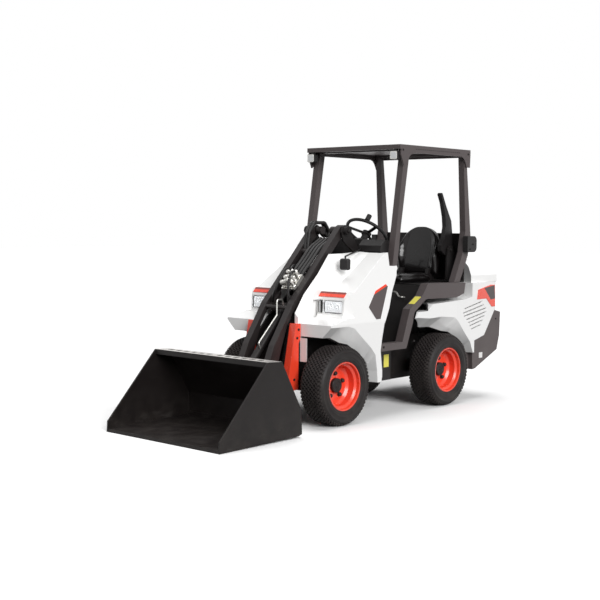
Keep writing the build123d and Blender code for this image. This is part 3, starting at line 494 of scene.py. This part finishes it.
def two_tone(name, base_slot, edge_colour, corner_a, corner_b, depth):
    material = finishes[base_slot].copy()
    material.name = name
    tree = material.node_tree
    along = (corner_b - corner_a).normalized()
    across = Vector((-along.z, 0, along.x))
    spot = add_node(tree, "TexCoord")
    measure = add_node(tree, "VectorMath", "DOT_PRODUCT")
    measure.inputs[1].default_value = across
    past = add_node(tree, "Math", "GREATER_THAN")
    past.inputs[1].default_value = across.dot(corner_a) - depth
    link(tree, (spot.outputs["Object"], measure.inputs[0]), (measure.outputs["Value"], past.inputs[0]))
    paint_over(material, edge_colour, past.outputs[0])
    return material


badge_finish = two_tone("badge_with_red_edge", "dark_frame", SIGNAL_RED, place(148, 0, 1013),
                        place(278, 0, 968), 0.016)
stripe_finish = two_tone("stripe_with_dark_edge", "accent_red", STRIPE_SHADE, place(600, 0, 953),
                         place(660, 0, 953), 0.0)
print("finishes", badge_finish.name, stripe_finish.name)

# %% [markdown]
# Each node of the frame takes the finish of its material slot. A few nodes that wear differently have one
# of their own.

# %% Finishes on the frame's own nodes
own_finish = {
    "accent_stripes": stripe_finish,
    "body_badges": badge_finish,
    "bucket": bucket_paint,
    "coupler": bucket_paint,
    "lift_arm": arm_paint,
    "coupler_bracket": arm_paint,
}
for name, node in nodes.items():
    node.data.materials.clear()
    node.data.materials.append(own_finish.get(name, finishes[slot_of[name]]))
print("finishes given to", len(nodes), "nodes")

# %% [markdown]
# ## Making pieces
# Most added pieces are made from a list of corners and faces. The helper below makes the object, smooths
# it where that is wanted, gives it its finish, and lets it ride on the body that carries it.

# %% Piece helper
def piece(name, corners, faces, slot, body, smooth=False, finish_as=None):
    mesh = bpy.data.meshes.new(name)
    mesh.from_pydata([tuple(c) for c in corners], [], faces)
    mesh.update()
    obj = bpy.data.objects.new(name, mesh)
    bpy.context.scene.collection.objects.link(obj)
    work = bmesh.new()
    work.from_mesh(mesh)
    bmesh.ops.recalc_face_normals(work, faces=work.faces)
    work.to_mesh(mesh)
    work.free()
    if smooth:
        mesh.shade_smooth()
    mesh.materials.append(finish_as or finishes[slot])
    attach(obj, body)
    return obj


print("piece helper ready")

# %% [markdown]
# Small forms that belong together, such as all bolts on one body, are gathered first and made into one
# piece. Two forms cover most of them: a turned ring and a thin rounded plate.

# %% Gathered shapes
CORNER_STEPS = 3


class Shapes:
    """Corners and faces of several small forms, joined into one piece."""

    def __init__(self):
        self.corners = []
        self.faces = []

    def add(self, corners, faces):
        start = len(self.corners)
        self.corners.extend(corners)
        self.faces.extend([tuple(start + i for i in face) for face in faces])

    def ring(self, centre, axis, steps, sides):
        """A turned form: steps are (distance along the axis, radius)."""
        axis = axis.normalized()
        side = axis.orthogonal().normalized()
        other = axis.cross(side)
        corners = []
        for along, radius in steps:
            for k in range(sides):
                a = math.tau * k / sides
                spoke = side * math.cos(a) + other * math.sin(a)
                corners.append(centre + axis * along + spoke * radius)
        faces = []
        for i in range(len(steps) - 1):
            for k in range(sides):
                n = (k + 1) % sides
                faces.append((i * sides + k, i * sides + n, (i + 1) * sides + n, (i + 1) * sides + k))
        faces.append(tuple(range(sides))[::-1])
        faces.append(tuple((len(steps) - 1) * sides + k for k in range(sides)))
        self.add(corners, faces)

    def plate(self, centre, across, up, width, height, thick, corner):
        """A rounded plate that stands on its centre, thick along its normal."""
        across = across.normalized()
        up = (up - across * up.dot(across)).normalized()
        normal = across.cross(up)
        outline = []
        for right, top, start in ((1, 1, 0), (-1, 1, 90), (-1, -1, 180), (1, -1, 270)):
            for step in range(CORNER_STEPS + 1):
                a = math.radians(start + 90 / CORNER_STEPS * step)
                u = right * (width / 2 - corner) + corner * math.cos(a)
                v = top * (height / 2 - corner) + corner * math.sin(a)
                outline.append((u, v))
        count = len(outline)
        corners = [centre + across * u + up * v for u, v in outline]
        corners += [centre + across * u + up * v + normal * thick for u, v in outline]
        faces = [tuple(range(count))[::-1], tuple(range(count, 2 * count))]
        for k in range(count):
            n = (k + 1) % count
            faces.append((k, n, count + n, count + k))
        self.add(corners, faces)


print("rings and plates ready")

# %% [markdown]
# ## Tyres
# Turf tyres carry hundreds of small staggered blocks instead of deep lugs, so that they don't tear grass.
# The carcass is turned from one cross-section with faint rings on its sidewall, and the blocks are laid on
# it row by row, each column shifted and leaning the other way. Modelling them, rather than drawing them as
# bump, keeps the ragged outline that the photograph shows against the ground.

# %% Tyre sizes
TYRE_R = 0.292
TRACK = 0.415
WHEEL_AXLE = 0.6535
TREAD_DEEP = 0.009
TREAD_ROWS = 60
TREAD_COLUMNS = 10
TREAD_HALF = 0.086
CARCASS_SIDES = 96
# radius, place across the tyre
CARCASS = [
    (0.1785, -0.0925), (0.184, -0.0975), (0.190, -0.1010), (0.198, -0.1035), (0.2000, -0.1050),
    (0.2025, -0.1050), (0.2045, -0.1042), (0.214, -0.1066), (0.2160, -0.1074), (0.2190, -0.1074),
    (0.2210, -0.1066), (0.236, -0.1062), (0.250, -0.1045), (0.2515, -0.1056), (0.2545, -0.1052),
    (0.256, -0.1032), (0.265, -0.0985), (0.2725, -0.0900), (0.2785, -0.0750), (0.2815, -0.0550),
    (0.2825, -0.0250), (0.2828, 0.0),
]
# radius of the tread's top at each place across
CROWN = [(0.0, 0.2918), (0.057, 0.2916), (0.074, 0.2890), (0.084, 0.2845), (0.100, 0.2740)]


def crown_at(across):
    reach = abs(across)
    for (a, ra), (b, rb) in zip(CROWN, CROWN[1:]):
        if reach <= b:
            return ra + (rb - ra) * (reach - a) / (b - a)
    return CROWN[-1][1]


def wheel_centre(x, side, across=0.0):
    return Vector((x + PIVOT_SHIFT / 1000, side * TRACK + across, TYRE_R))


# %% Carcass
def carcass(name, body, x, side):
    section = CARCASS + [(r, -v) for r, v in CARCASS[-2::-1]]
    sides = CARCASS_SIDES
    corners = []
    for radius, across in section:
        centre = wheel_centre(x, side, across)
        for k in range(sides):
            a = math.tau * k / sides
            corners.append(centre + Vector((radius * math.cos(a), 0, radius * math.sin(a))))
    faces = []
    count = len(section)
    for i in range(count):
        j = (i + 1) % count
        for k in range(sides):
            n = (k + 1) % sides
            faces.append((i * sides + k, i * sides + n, j * sides + n, j * sides + k))
    return piece(name, corners, faces, "tyre_rubber", body, smooth=True)


# %% Tread blocks
BLOCK_TAPER = 0.80
BLOCK_HALF_ACROSS = 0.40
BLOCK_HALF_AROUND = 0.34
BLOCK_LEAN = 0.10
BLOCK_ROOT = 0.003
SHOULDER_AT = 0.0925
SHOULDER_HALF = (0.0050, 0.30)
SHOULDER_DEEP = 0.006
BLOCK_FACES = [(4, 5, 6, 7), (0, 1, 5, 4), (1, 2, 6, 5), (2, 3, 7, 6), (3, 0, 4, 7)]


def block_corners(centre, columns, angles, deep):
    """Columns are a middle and a half width across; angles a middle, a half width and a lean around."""
    shape = []
    for top, size in ((False, 1.0), (True, BLOCK_TAPER)):
        for du, dv in ((-1, -1), (1, -1), (1, 1), (-1, 1)):
            across = columns[0] + dv * columns[1] * size
            a = angles[0] + du * angles[1] * size + dv * angles[2]
            radius = crown_at(across) - (0 if top else deep)
            shape.append(centre + Vector((radius * math.cos(a), across, radius * math.sin(a))))
    return shape


def tread(name, body, x, side, first_turn):
    shapes = Shapes()
    centre = wheel_centre(x, side)
    pitch = math.tau / TREAD_ROWS
    width = 2 * TREAD_HALF / TREAD_COLUMNS
    for row in range(TREAD_ROWS):
        for column in range(TREAD_COLUMNS):
            middle = -TREAD_HALF + width * (column + 0.5)
            shift = 0.5 if column % 2 else 0.0
            lean = BLOCK_LEAN if column % 2 else -BLOCK_LEAN
            columns = (middle, width * BLOCK_HALF_ACROSS)
            angles = (first_turn + pitch * (row + shift), pitch * BLOCK_HALF_AROUND, pitch * lean)
            shapes.add(block_corners(centre, columns, angles, TREAD_DEEP + BLOCK_ROOT), BLOCK_FACES)
        for edge, shift in ((-1, 0.75), (1, 0.25)):
            columns = (edge * SHOULDER_AT, SHOULDER_HALF[0])
            angles = (first_turn + pitch * (row + shift), pitch * SHOULDER_HALF[1], 0.0)
            shapes.add(block_corners(centre, columns, angles, SHOULDER_DEEP), BLOCK_FACES)
    return piece(name, shapes.corners, shapes.faces, "tyre_rubber", body, finish_as=tread_rubber)


# %% Four tyres
TURN_STEP = 0.011
WHEELS = [
    ("front_left", "wheel_fl", WHEEL_AXLE, 1),
    ("front_right", "wheel_fr", WHEEL_AXLE, -1),
    ("rear_left", "wheel_rl", -WHEEL_AXLE, 1),
    ("rear_right", "wheel_rr", -WHEEL_AXLE, -1),
]
for number, (corner, body, x, side) in enumerate(WHEELS):
    turf = carcass("turf_tyre_" + corner, body, x, side)
    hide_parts("tyre_" + corner)
    blocks = tread("turf_tread_" + corner, body, x, side, TURN_STEP * number)
    print(turf.name, len(turf.data.polygons), "faces", blocks.name, len(blocks.data.polygons), "faces")

# %% [markdown]
# The rims stay as the solids are. A black cap covers each hub and black nuts stand on the disc, which is
# what makes the red centre read as a real wheel from a distance.

# %% Hub caps and nuts
HUB_FACE = 0.4325
DISC_FACE = 0.4055
NUT_CIRCLE = 0.088
NUTS = 5
FIRST_NUT = 18
CAP_TURNED = [(-0.024, 0.0535), (0.001, 0.0535), (0.004, 0.050), (0.004, 0.036), (0.0015, 0.033),
              (0.0015, 0.016), (0.005, 0.013)]
NUT_TURNED = [(0.0, 0.0185), (0.003, 0.0185), (0.004, 0.0150), (0.020, 0.0145), (0.0245, 0.009)]
for corner, body, x, side in WHEELS:
    hub = Vector((x + PIVOT_SHIFT / 1000, side * HUB_FACE, TYRE_R))
    out = Vector((0, side, 0))
    shapes = Shapes()
    shapes.ring(hub, out, CAP_TURNED, 40)
    for k in range(NUTS):
        a = math.radians(360 / NUTS * k + FIRST_NUT)
        around = Vector((math.cos(a), 0, math.sin(a))) * NUT_CIRCLE
        spot = Vector((hub.x, side * DISC_FACE, TYRE_R)) + around
        shapes.ring(spot, out, NUT_TURNED, 6)
    piece("hub_cap_" + corner, shapes.corners, shapes.faces, "black_metal", body)
print("hub caps on", len(WHEELS), "wheels")

# %% [markdown]
# ## Seat
# The seat is foam under vinyl: a crowned cushion with a rolled front edge, and a back rest with side
# bolsters and a rounded top. Both are closed forms laid out on a grid, whose height over the grid gives
# the crown, the bolsters and the sewn seams. A grid was chosen over a cloth simulation because the seams
# stay exactly where the photograph shows them.

# %% Padded form
def bump_at(value, middle, width):
    return math.exp(-((value - middle) / width) ** 2)


def padded_form(name, slot, body, rows, columns, front, back):
    """A closed pad: front and back give a grid point's place, u across (-1 to 1) and v up (0 to 1)."""
    corners = []
    for surface in (front, back):
        for i in range(rows + 1):
            for k in range(columns + 1):
                corners.append(surface(-1 + 2 * k / columns, i / rows))
    layer = (rows + 1) * (columns + 1)
    faces = []
    for i in range(rows):
        for k in range(columns):
            a = i * (columns + 1) + k
            b = a + columns + 1
            faces.append((a, a + 1, b + 1, b))
            faces.append((layer + a, layer + b, layer + b + 1, layer + a + 1))
    edge = list(range(columns + 1))
    edge += [i * (columns + 1) + columns for i in range(1, rows + 1)]
    edge += [rows * (columns + 1) + k for k in range(columns - 1, -1, -1)]
    edge += [i * (columns + 1) for i in range(rows - 1, 0, -1)]
    for k in range(len(edge)):
        a = edge[k]
        b = edge[(k + 1) % len(edge)]
        faces.append((a, b, layer + b, layer + a))
    return piece(name, corners, faces, slot, body, smooth=True)


# %% Seat cushion
SEAT_FRONT = -400.0
SEAT_REAR = -832.0
SEAT_LOW = 1001.0
SEAT_HIGH = 1068.0
BASE_SHARE = 0.985
SEAT_HALF = 224.0


def seat_spot(u, v, z):
    squeeze = 1 - 0.10 * abs(2 * v - 1) ** 5
    pull = 1 - 0.07 * abs(u) ** 6
    x = (SEAT_FRONT + SEAT_REAR) / 2 + (SEAT_FRONT - SEAT_REAR) / 2 * (1 - 2 * v) * pull
    return place(x, SEAT_HALF * u * squeeze, z)


def cushion_top(u, v):
    rim = max(abs(u), abs(2 * v - 1)) ** 10
    crown = 1 - 0.22 * abs(2 * v - 1) ** 2.5 - 0.55 * rim
    sides = 0.16 * bump_at(abs(u), 0.80, 0.14) * (1 - 0.5 * abs(2 * v - 1) ** 4)
    seam = 0.16 * bump_at(abs(u), 0.60, 0.022)
    rise = min(1.0, 0.82 * crown + sides - seam + 0.02)
    return seat_spot(u, v, SEAT_LOW + (SEAT_HIGH - SEAT_LOW) * rise)


def cushion_base(u, v):
    return seat_spot(u * BASE_SHARE, 0.5 + (v - 0.5) * BASE_SHARE, SEAT_LOW)


seat_pad = padded_form("seat_pad", "seat_vinyl", "front_frame", 60, 64, cushion_top, cushion_base)
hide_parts("seat_cushion")
print(seat_pad.name, len(seat_pad.data.polygons), "faces")

# %% Back rest
BACK_FOOT = Vector((-890.0, 0.0, 1050.0))
BACK_UP = Vector((-75.0, 0.0, 394.0)).normalized()
BACK_OUT = Vector((BACK_UP.z, 0, -BACK_UP.x))
BACK_HALF = 211.0
BACK_HIGH = 401.0
BACK_THICK = 49.0
ROUND_POWER = 2.3


def back_half_width(rise):
    straight = BACK_HIGH - BACK_HALF
    if rise <= straight:
        return BACK_HALF * (0.955 + 0.045 * rise / straight)
    over = (rise - straight) / BACK_HALF
    return BACK_HALF * math.sqrt(max(0.0, 1 - over ** ROUND_POWER)) + 2.0


def back_rise(v):
    return BACK_HIGH * (1 - (1 - v) ** 1.25)


def back_spot(u, v, out):
    rise = back_rise(v)
    y = back_half_width(rise) * u
    spot = BACK_FOOT + BACK_UP * (rise - 0.5) + BACK_OUT * out
    return place(spot.x, y, spot.z)


def back_front(u, v):
    rise = back_rise(v)
    level = bump_at(rise, 175, 105)
    bolster = 66 * bump_at(abs(u), 0.86, 0.15) * min(1.0, level * 1.15)
    rim = max(abs(u), abs(2 * v - 1)) ** 14
    lumbar = 10 * bump_at(rise, 120, 70) * (1 - abs(u) ** 2)
    seam = 4 * bump_at(abs(u), 0.60, 0.020) * level
    out = min(43.0, bolster * 0.66 + lumbar * 0.4 - seam) - 16 * rim - 3
    return back_spot(u, v, out)


def back_rear(u, v):
    rim = max(abs(u), abs(2 * v - 1)) ** 8
    return back_spot(u, v, -BACK_THICK + 14 * rim)


back_pad = padded_form("back_pad", "seat_vinyl", "front_frame", 64, 60, back_front, back_rear)
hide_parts("seat_back")
print(back_pad.name, len(back_pad.data.polygons), "faces")

# %% [markdown]
# ## Lamps
# Behind each clear lens sits a pale reflector inside a thin dark frame, and beside it the slim marker lamp
# is a black strip with a bright bar. All are thin forms that stand just behind or on the glass.

# %% Headlamp insides
LAMP_Y = 362.5
LAMP_Z = 858.5
MARKER_X = 630.1
MARKER_Y = 246.0
BOWL_TURNED = [(0.0, 0.028), (0.003, 0.026), (0.002, 0.012), (0.006, 0.006)]
reflectors = Shapes()
frames = Shapes()
bowls = Shapes()
for side, name in SIDES:
    lamp_y = side * LAMP_Y
    frames.plate(place(615.6, lamp_y, LAMP_Z), LEFTWARD, UPWARD, 0.172, 0.091, 0.0010, 0.012)
    reflectors.plate(place(616.8, lamp_y, LAMP_Z), LEFTWARD, UPWARD, 0.164, 0.083, 0.0015, 0.010)
    # whose plate, outward from the marker's middle, width, height, corner
    for shapes, outward, width, height, corner in (
        (frames, 9, 0.013, 0.086, 0.003),
        (frames, -13, 0.005, 0.086, 0.001),
        (reflectors, -4, 0.009, 0.080, 0.002),
    ):
        spot = place(MARKER_X, side * (MARKER_Y + outward), LAMP_Z)
        shapes.plate(spot, LEFTWARD, UPWARD, width, height, 0.0012, corner)
    for across in (330, 395):
        bowls.ring(place(618.4, side * across, 858), AHEAD, BOWL_TURNED, 24)
piece("lamp_reflectors", reflectors.corners, reflectors.faces, "white_body", "front_frame",
      finish_as=satin_white)
piece("lamp_frames", frames.corners, frames.faces, "black_plastic", "front_frame")
piece("lamp_bowls", bowls.corners, bowls.faces, "plated_steel", "front_frame", finish_as=satin_white)
print("headlamps dressed")

# %% [markdown]
# The two square work lamps under the front of the roof get a bright rim, a pale face and cooling fins on
# their backs.

# %% Work lamp faces
WORK_LAMP_Y = 418
WORK_LAMP_Z = 1988
FINS = 5
FIN_LOWEST = 1962
FIN_STEP = 13
work_faces = Shapes()
work_rims = Shapes()
work_fins = Shapes()
for side, name in SIDES:
    y = side * WORK_LAMP_Y
    work_rims.plate(place(-8.2, y, WORK_LAMP_Z), LEFTWARD, UPWARD, 0.066, 0.060, 0.0015, 0.009)
    work_faces.plate(place(-6.8, y, WORK_LAMP_Z), LEFTWARD, UPWARD, 0.054, 0.049, 0.0012, 0.007)
    for k in range(FINS):
        spot = place(-58, y, FIN_LOWEST + FIN_STEP * k)
        work_fins.plate(spot, -LEFTWARD, UPWARD, 0.064, 0.003, 0.006, 0.001)
piece("work_lamp_lenses", work_faces.corners, work_faces.faces, "clear_lens", "front_frame",
      finish_as=satin_white)
piece("work_lamp_rims", work_rims.corners, work_rims.faces, "plated_steel", "front_frame")
piece("work_lamp_fins", work_fins.corners, work_fins.faces, "black_plastic", "front_frame")
print("work lamps dressed")

# %% [markdown]
# ## Openings
# The solids carry the cooling slots as cuts, whose floor is white like the body. On the machine one looks
# through them into the dark, so each cut gets a black floor: painted shade that stands for the unlit
# inside. A row of short slots also runs along the canopy's side plates, drawn as black plates of painted
# shade.

# %% Slot floors
SLOT_LIFT = 4.5
SLOT_FLOOR_Y = 0.4661
ROOF_SLOTS = 22
ROOF_SLOT_FIRST = -235
ROOF_SLOT_STEP = 28
LOUVRES = [
    # front x, front z, rear x, rear z
    (-873, 768, -1168, 816),
    (-855, 734, -1197, 786),
    (-868, 708, -1238, 756),
    (-904, 677, -1240, 725),
    (-938, 649, -1214, 694),
    (-963, 623, -1181, 658),
    (-989, 594, -1149, 621),
]
for side, name in SIDES:
    floors = Shapes()
    for front_x, front_z, rear_x, rear_z in LOUVRES:
        start = place(front_x, 0, front_z + SLOT_LIFT)
        end = place(rear_x, 0, rear_z + SLOT_LIFT)
        run = end - start
        middle = (start + end) / 2 + LEFTWARD * side * SLOT_FLOOR_Y
        floors.plate(middle, run * -side, UPWARD, run.length - 0.002, 0.0086, 0.004, 0.002)
    # Painted shade: these black floors stand for the dark inside each cooling slot.
    piece("painted_shade_slot_floors_" + name, floors.corners, floors.faces, "black_metal", "rear_frame",
          finish_as=painted_shade_finish)
    painted_shade_roof_slots = Shapes()
    for k in range(ROOF_SLOTS):
        spot = place(ROOF_SLOT_FIRST - ROOF_SLOT_STEP * k, side * 470, 2041)
        painted_shade_roof_slots.plate(spot, AHEAD * -side, UPWARD, 0.013, 0.005, 0.0005, 0.002)
    # Painted shade: black plates on the side plate stand for the dark inside each short slot.
    piece("painted_shade_roof_slots_" + name, painted_shade_roof_slots.corners, painted_shade_roof_slots.faces, "black_metal", "front_frame",
          finish_as=painted_shade_finish)
print("slots on both sides")

# %% [markdown]
# The bucket's top edge is a lighter strip, with a row of slots punched in it. A thin strip of pale steel
# follows the sloping lip and carries the slots, which are black plates of painted shade standing for the
# dark inside each slot.

# %% Lip strip
LIP_REAR_X = 1388
LIP_FRONT_X = 1527
LIP_REAR_Z = 542
LIP_FRONT_Z = 548
LIP_SLOPE = (LIP_FRONT_Z - LIP_REAR_Z) / (LIP_FRONT_X - LIP_REAR_X)
LIP_WIDTH = 1.124
LIP_SLOT_STEP = 78
LIP_SLOTS_EACH = 6


def lip_spot(x, y, above):
    return place(x, y, LIP_REAR_Z + (x - LIP_REAR_X) * LIP_SLOPE + above)


strip = Shapes()
painted_shade_lip_slots = Shapes()
lip_ahead = lip_spot(1444, 0, 0) - lip_spot(1390, 0, 0)
strip.plate(lip_spot(1444, 0, 0), lip_ahead, LEFTWARD, 0.106, LIP_WIDTH, 0.0012, 0.002)
strip.plate(place(1513.5, 0, 548.1), AHEAD, LEFTWARD, 0.026, LIP_WIDTH, 0.0012, 0.002)
for k in range(LIP_SLOTS_EACH):
    for first in (40, -460):
        spot = lip_spot(1455, first + LIP_SLOT_STEP * k, 1.2)
        painted_shade_lip_slots.plate(spot, lip_ahead, LEFTWARD, 0.044, 0.036, 0.0006, 0.004)
piece("lip_strip", strip.corners, strip.faces, "plated_steel", "attachment", finish_as=lip_steel)
# Painted shade: black plates on the strip stand for the dark inside each punched slot.
piece("painted_shade_lip_slots", painted_shade_lip_slots.corners, painted_shade_lip_slots.faces, "black_metal", "attachment", finish_as=painted_shade_finish)
print("lip strip laid")

# %% [markdown]
# ## Plates
# Labels and name plates on the real machine are left blank: plain yellow or white plates of the same size
# in the same places. They are thin rounded plates that lie on the panel that carries them.

# %% Blank plates
yellow_plate = finish("plain_yellow_plate", (0.80, 0.72, 0.10), (0.3, 0.4), relief=(600.0, 0.01))
white_plate = finish("plain_white_plate", (0.78, 0.77, 0.76), (0.3, 0.4), relief=(600.0, 0.01))
leg_along = (place(-300, 0, 905) - place(-138, 0, 810)).normalized()
for side, name in SIDES:
    shapes = Shapes()
    spot = place(-243, side * 466, 872.6)
    shapes.plate(spot, leg_along * side, LEFTWARD * side, 0.104, 0.056, 0.0012, 0.004)
    shapes.plate(place(8, side * 385.3, 412), AHEAD * -side, UPWARD, 0.062, 0.098, 0.0012, 0.004)
    piece("yellow_plates_" + name, shapes.corners, shapes.faces, "white_body", "front_frame",
          finish_as=yellow_plate)
    shapes = Shapes()
    shapes.plate(place(840, side * 271, 553), LEFTWARD, UPWARD, 0.066, 0.172, 0.0030, 0.004)
    piece("white_plate_" + name, shapes.corners, shapes.faces, "white_body", "front_frame",
          finish_as=white_plate)
    shapes = Shapes()
    shapes.plate(place(-1173, side * 480.2, 366), AHEAD * -side, UPWARD, 0.052, 0.046, 0.0012, 0.003)
    piece("tail_plate_" + name, shapes.corners, shapes.faces, "white_body", "rear_frame",
          finish_as=white_plate)
print("plates laid")

# %% [markdown]
# ## Bolts
# Hexagon bolts with washers hold the plates together. One loop sets them from a table of places, and all
# bolts on one body are joined into one piece.

# %% Bolt table
BOLTS = [
    # body, x, y, z, points to, radius
    ("front_frame", -1010, 295, 1113, (1, 0, 0), 8),
    ("front_frame", -1010, 310, 1153, (1, 0, 0), 8),
    ("front_frame", -935, 322, 1249, (0, 1, 0), 13),
    ("arm", 1108, 157, 150, (0, 1, 0), 20),
    ("arm", 1108, -157, 150, (0, -1, 0), 20),
    ("attachment", 1240, 300, 260, (0, 1, 0), 9),
]
# body, y on the left side, radius, places as x and z; each stands on both sides
BOLTS_ON_BOTH_SIDES = [
    ("front_frame", 500, 8, ((-190, 560), (190, 540))),
    ("front_frame", 470, 7, ((-62, 2030), (-950, 2035))),
    ("front_frame", 500, 7, ((-1000, 1300), (-960, 1260))),
    ("front_frame", 239, 8, ((860, 700), (875, 640), (905, 340))),
    ("front_frame", 180, 8, ((700, 300), (640, 300), (600, 262))),
    ("front_frame", 212, 20, ((268, 1412),)),
    ("rear_frame", 480, 6, ((-1400, 660),)),
]
for side, name in SIDES:
    for body, y, radius, spots in BOLTS_ON_BOTH_SIDES:
        BOLTS += [(body, x, side * y, z, (0, side, 0), radius) for x, z in spots]
print(len(BOLTS), "bolts in the table")

# %% Bolts
by_body = {}
for body, x, y, z, out, radius in BOLTS:
    shapes = by_body.setdefault(body, Shapes())
    spot = place(x, y, z)
    out = Vector(out)
    r = radius / 1000
    shapes.ring(spot - out * 0.0005, out, [(0.0, r * 1.25), (0.0018, r * 1.25)], 20)
    shapes.ring(spot, out, [(0.0, r), (r * 0.75, r), (r * 0.85, r * 0.85)], 6)
for body, shapes in by_body.items():
    piece("bolts_" + body, shapes.corners, shapes.faces, "black_metal", body)
    print("bolts on", body, len(shapes.faces), "faces")

# %% [markdown]
# ## Couplings
# The quick couplings are bright zinc-plated turned parts. The solids have their bodies; here each gets a
# knurled collar and a domed cap, and a second, lower row hangs below the block on its own plate.

# %% Coupling tips
BLOCK_AT = Vector((690, 0, 1040))
BLOCK_OUT = Vector((0.68, 0, 0.733)).normalized()
BLOCK_UP = Vector((-0.733, 0, 0.68)).normalized()


def block_spot(y, along, out):
    spot = BLOCK_AT + Vector((0, y, 0)) + BLOCK_UP * along + BLOCK_OUT * out
    return place(spot.x, spot.y, spot.z)


# distance along the coupling, radius
TIP_TURNED = [(-0.012, 0.0125), (-0.010, 0.0175), (0.004, 0.0175), (0.006, 0.0145), (0.010, 0.0145),
              (0.013, 0.009)]
COLLAR_TURNED = [(0.0, 0.0165), (0.002, 0.0185), (0.011, 0.0185), (0.013, 0.0165)]
STEM_R = 0.012
LOWER_ROW = -66
# place across, place up the block, reach
UPPER_TIPS = [(80, 24, 70), (44, 24, 78), (8, 24, 70), (80, -24, 62), (44, -24, 70), (8, -24, 62)]
# place across, reach
LOWER_TIPS = [(90, 62), (58, 74), (26, 58), (-6, 50)]

tips = Shapes()
for y, along, reach in UPPER_TIPS:
    tips.ring(block_spot(y, along, reach), BLOCK_OUT, TIP_TURNED, 20)
    tips.ring(block_spot(y, along, 24), BLOCK_OUT, COLLAR_TURNED, 6)
for y, reach in LOWER_TIPS:
    tips.ring(block_spot(y, LOWER_ROW, 6), BLOCK_OUT, [(0.0, STEM_R), (reach / 1000, STEM_R)], 18)
    tips.ring(block_spot(y, LOWER_ROW, 8), BLOCK_OUT, COLLAR_TURNED, 6)
    tips.ring(block_spot(y, LOWER_ROW, reach), BLOCK_OUT, TIP_TURNED, 20)
base = Shapes()
base.plate(block_spot(36, LOWER_ROW, -6), LEFTWARD, BLOCK_UP, 0.132, 0.046, 0.012, 0.006)
piece("coupling_tips", tips.corners, tips.faces, "plated_steel", "arm")
piece("coupling_plate", base.corners, base.faces, "plated_steel", "arm")
print("couplings dressed")

# %% [markdown]
# ## Hoses
# Short hydraulic hoses leave the couplings, and four more run along the arm behind them. Each is a curve
# with a round bevel, held at both ends. Curves are the natural way to make a hose, because its route can
# be read and changed point by point.

# %% Hose helper
HOSE_ROUND = 5
HOSE_SMOOTH = 10


def hose(name, body, points, radius, slot="hose_rubber"):
    data = bpy.data.curves.new(name, "CURVE")
    data.dimensions = "3D"
    data.bevel_depth = radius
    data.bevel_resolution = HOSE_ROUND
    data.resolution_u = HOSE_SMOOTH
    data.use_fill_caps = True
    line = data.splines.new("NURBS")
    line.points.add(len(points) - 1)
    for spot, point in zip(points, line.points):
        point.co = (*spot, 1)
    line.order_u = 3
    line.use_endpoint_u = True
    obj = bpy.data.objects.new(name, data)
    bpy.context.scene.collection.objects.link(obj)
    data.materials.append(finishes[slot])
    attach(obj, body)
    return obj


# %% Hoses
SHORT_HOSE_R = 0.0085
LONG_HOSE_R = 0.0125
LONG_HOSES_Y = (-14, 20, 54, 86)
HOSE_RUNS = [
    [(730, 80, 1110), (760, 84, 1120), (800, 86, 1070), (812, 88, 960), (790, 90, 900), (770, 92, 862)],
    [(725, 44, 1120), (775, 40, 1150), (835, 30, 1080), (860, 10, 985), (845, -30, 940), (800, -70, 905),
     (775, -92, 880)],
    [(700, 8, 1088), (660, -20, 1130), (600, -50, 1150), (540, -80, 1150), (505, -95, 1140)],
]
for number, run in enumerate(HOSE_RUNS):
    hose("coupling_hose_" + str(number + 1), "arm", [place(*p) for p in run], SHORT_HOSE_R)
ARM_RUN = [(325, 1352), (385, 1318), (455, 1284), (545, 1190), (635, 1108), (664, 1076)]
for number, y in enumerate(LONG_HOSES_Y):
    hose("arm_run_hose_" + str(number + 1), "arm", [place(x, y, z) for x, z in ARM_RUN], LONG_HOSE_R)
print(len(HOSE_RUNS), "short hoses and", len(LONG_HOSES_Y), "along the arm")

# %% [markdown]
# ## Grab handle
# A bright bent handle stands on the sloped riser below the seat. It is one short tube with both feet on
# the riser's face.

# %% Grab handle
HANDLE_R = 0.006
HANDLE_RUN = [(-328, 164, 874), (-306, 166, 890), (-314, 176, 922), (-318, 204, 926), (-316, 236, 920),
              (-304, 258, 896), (-296, 284, 886), (-300, 302, 886), (-334, 304, 882)]
grab = hose("grab_handle", "front_frame", [place(*p) for p in HANDLE_RUN], HANDLE_R,
            slot="plated_steel")
print("handle", grab.name)
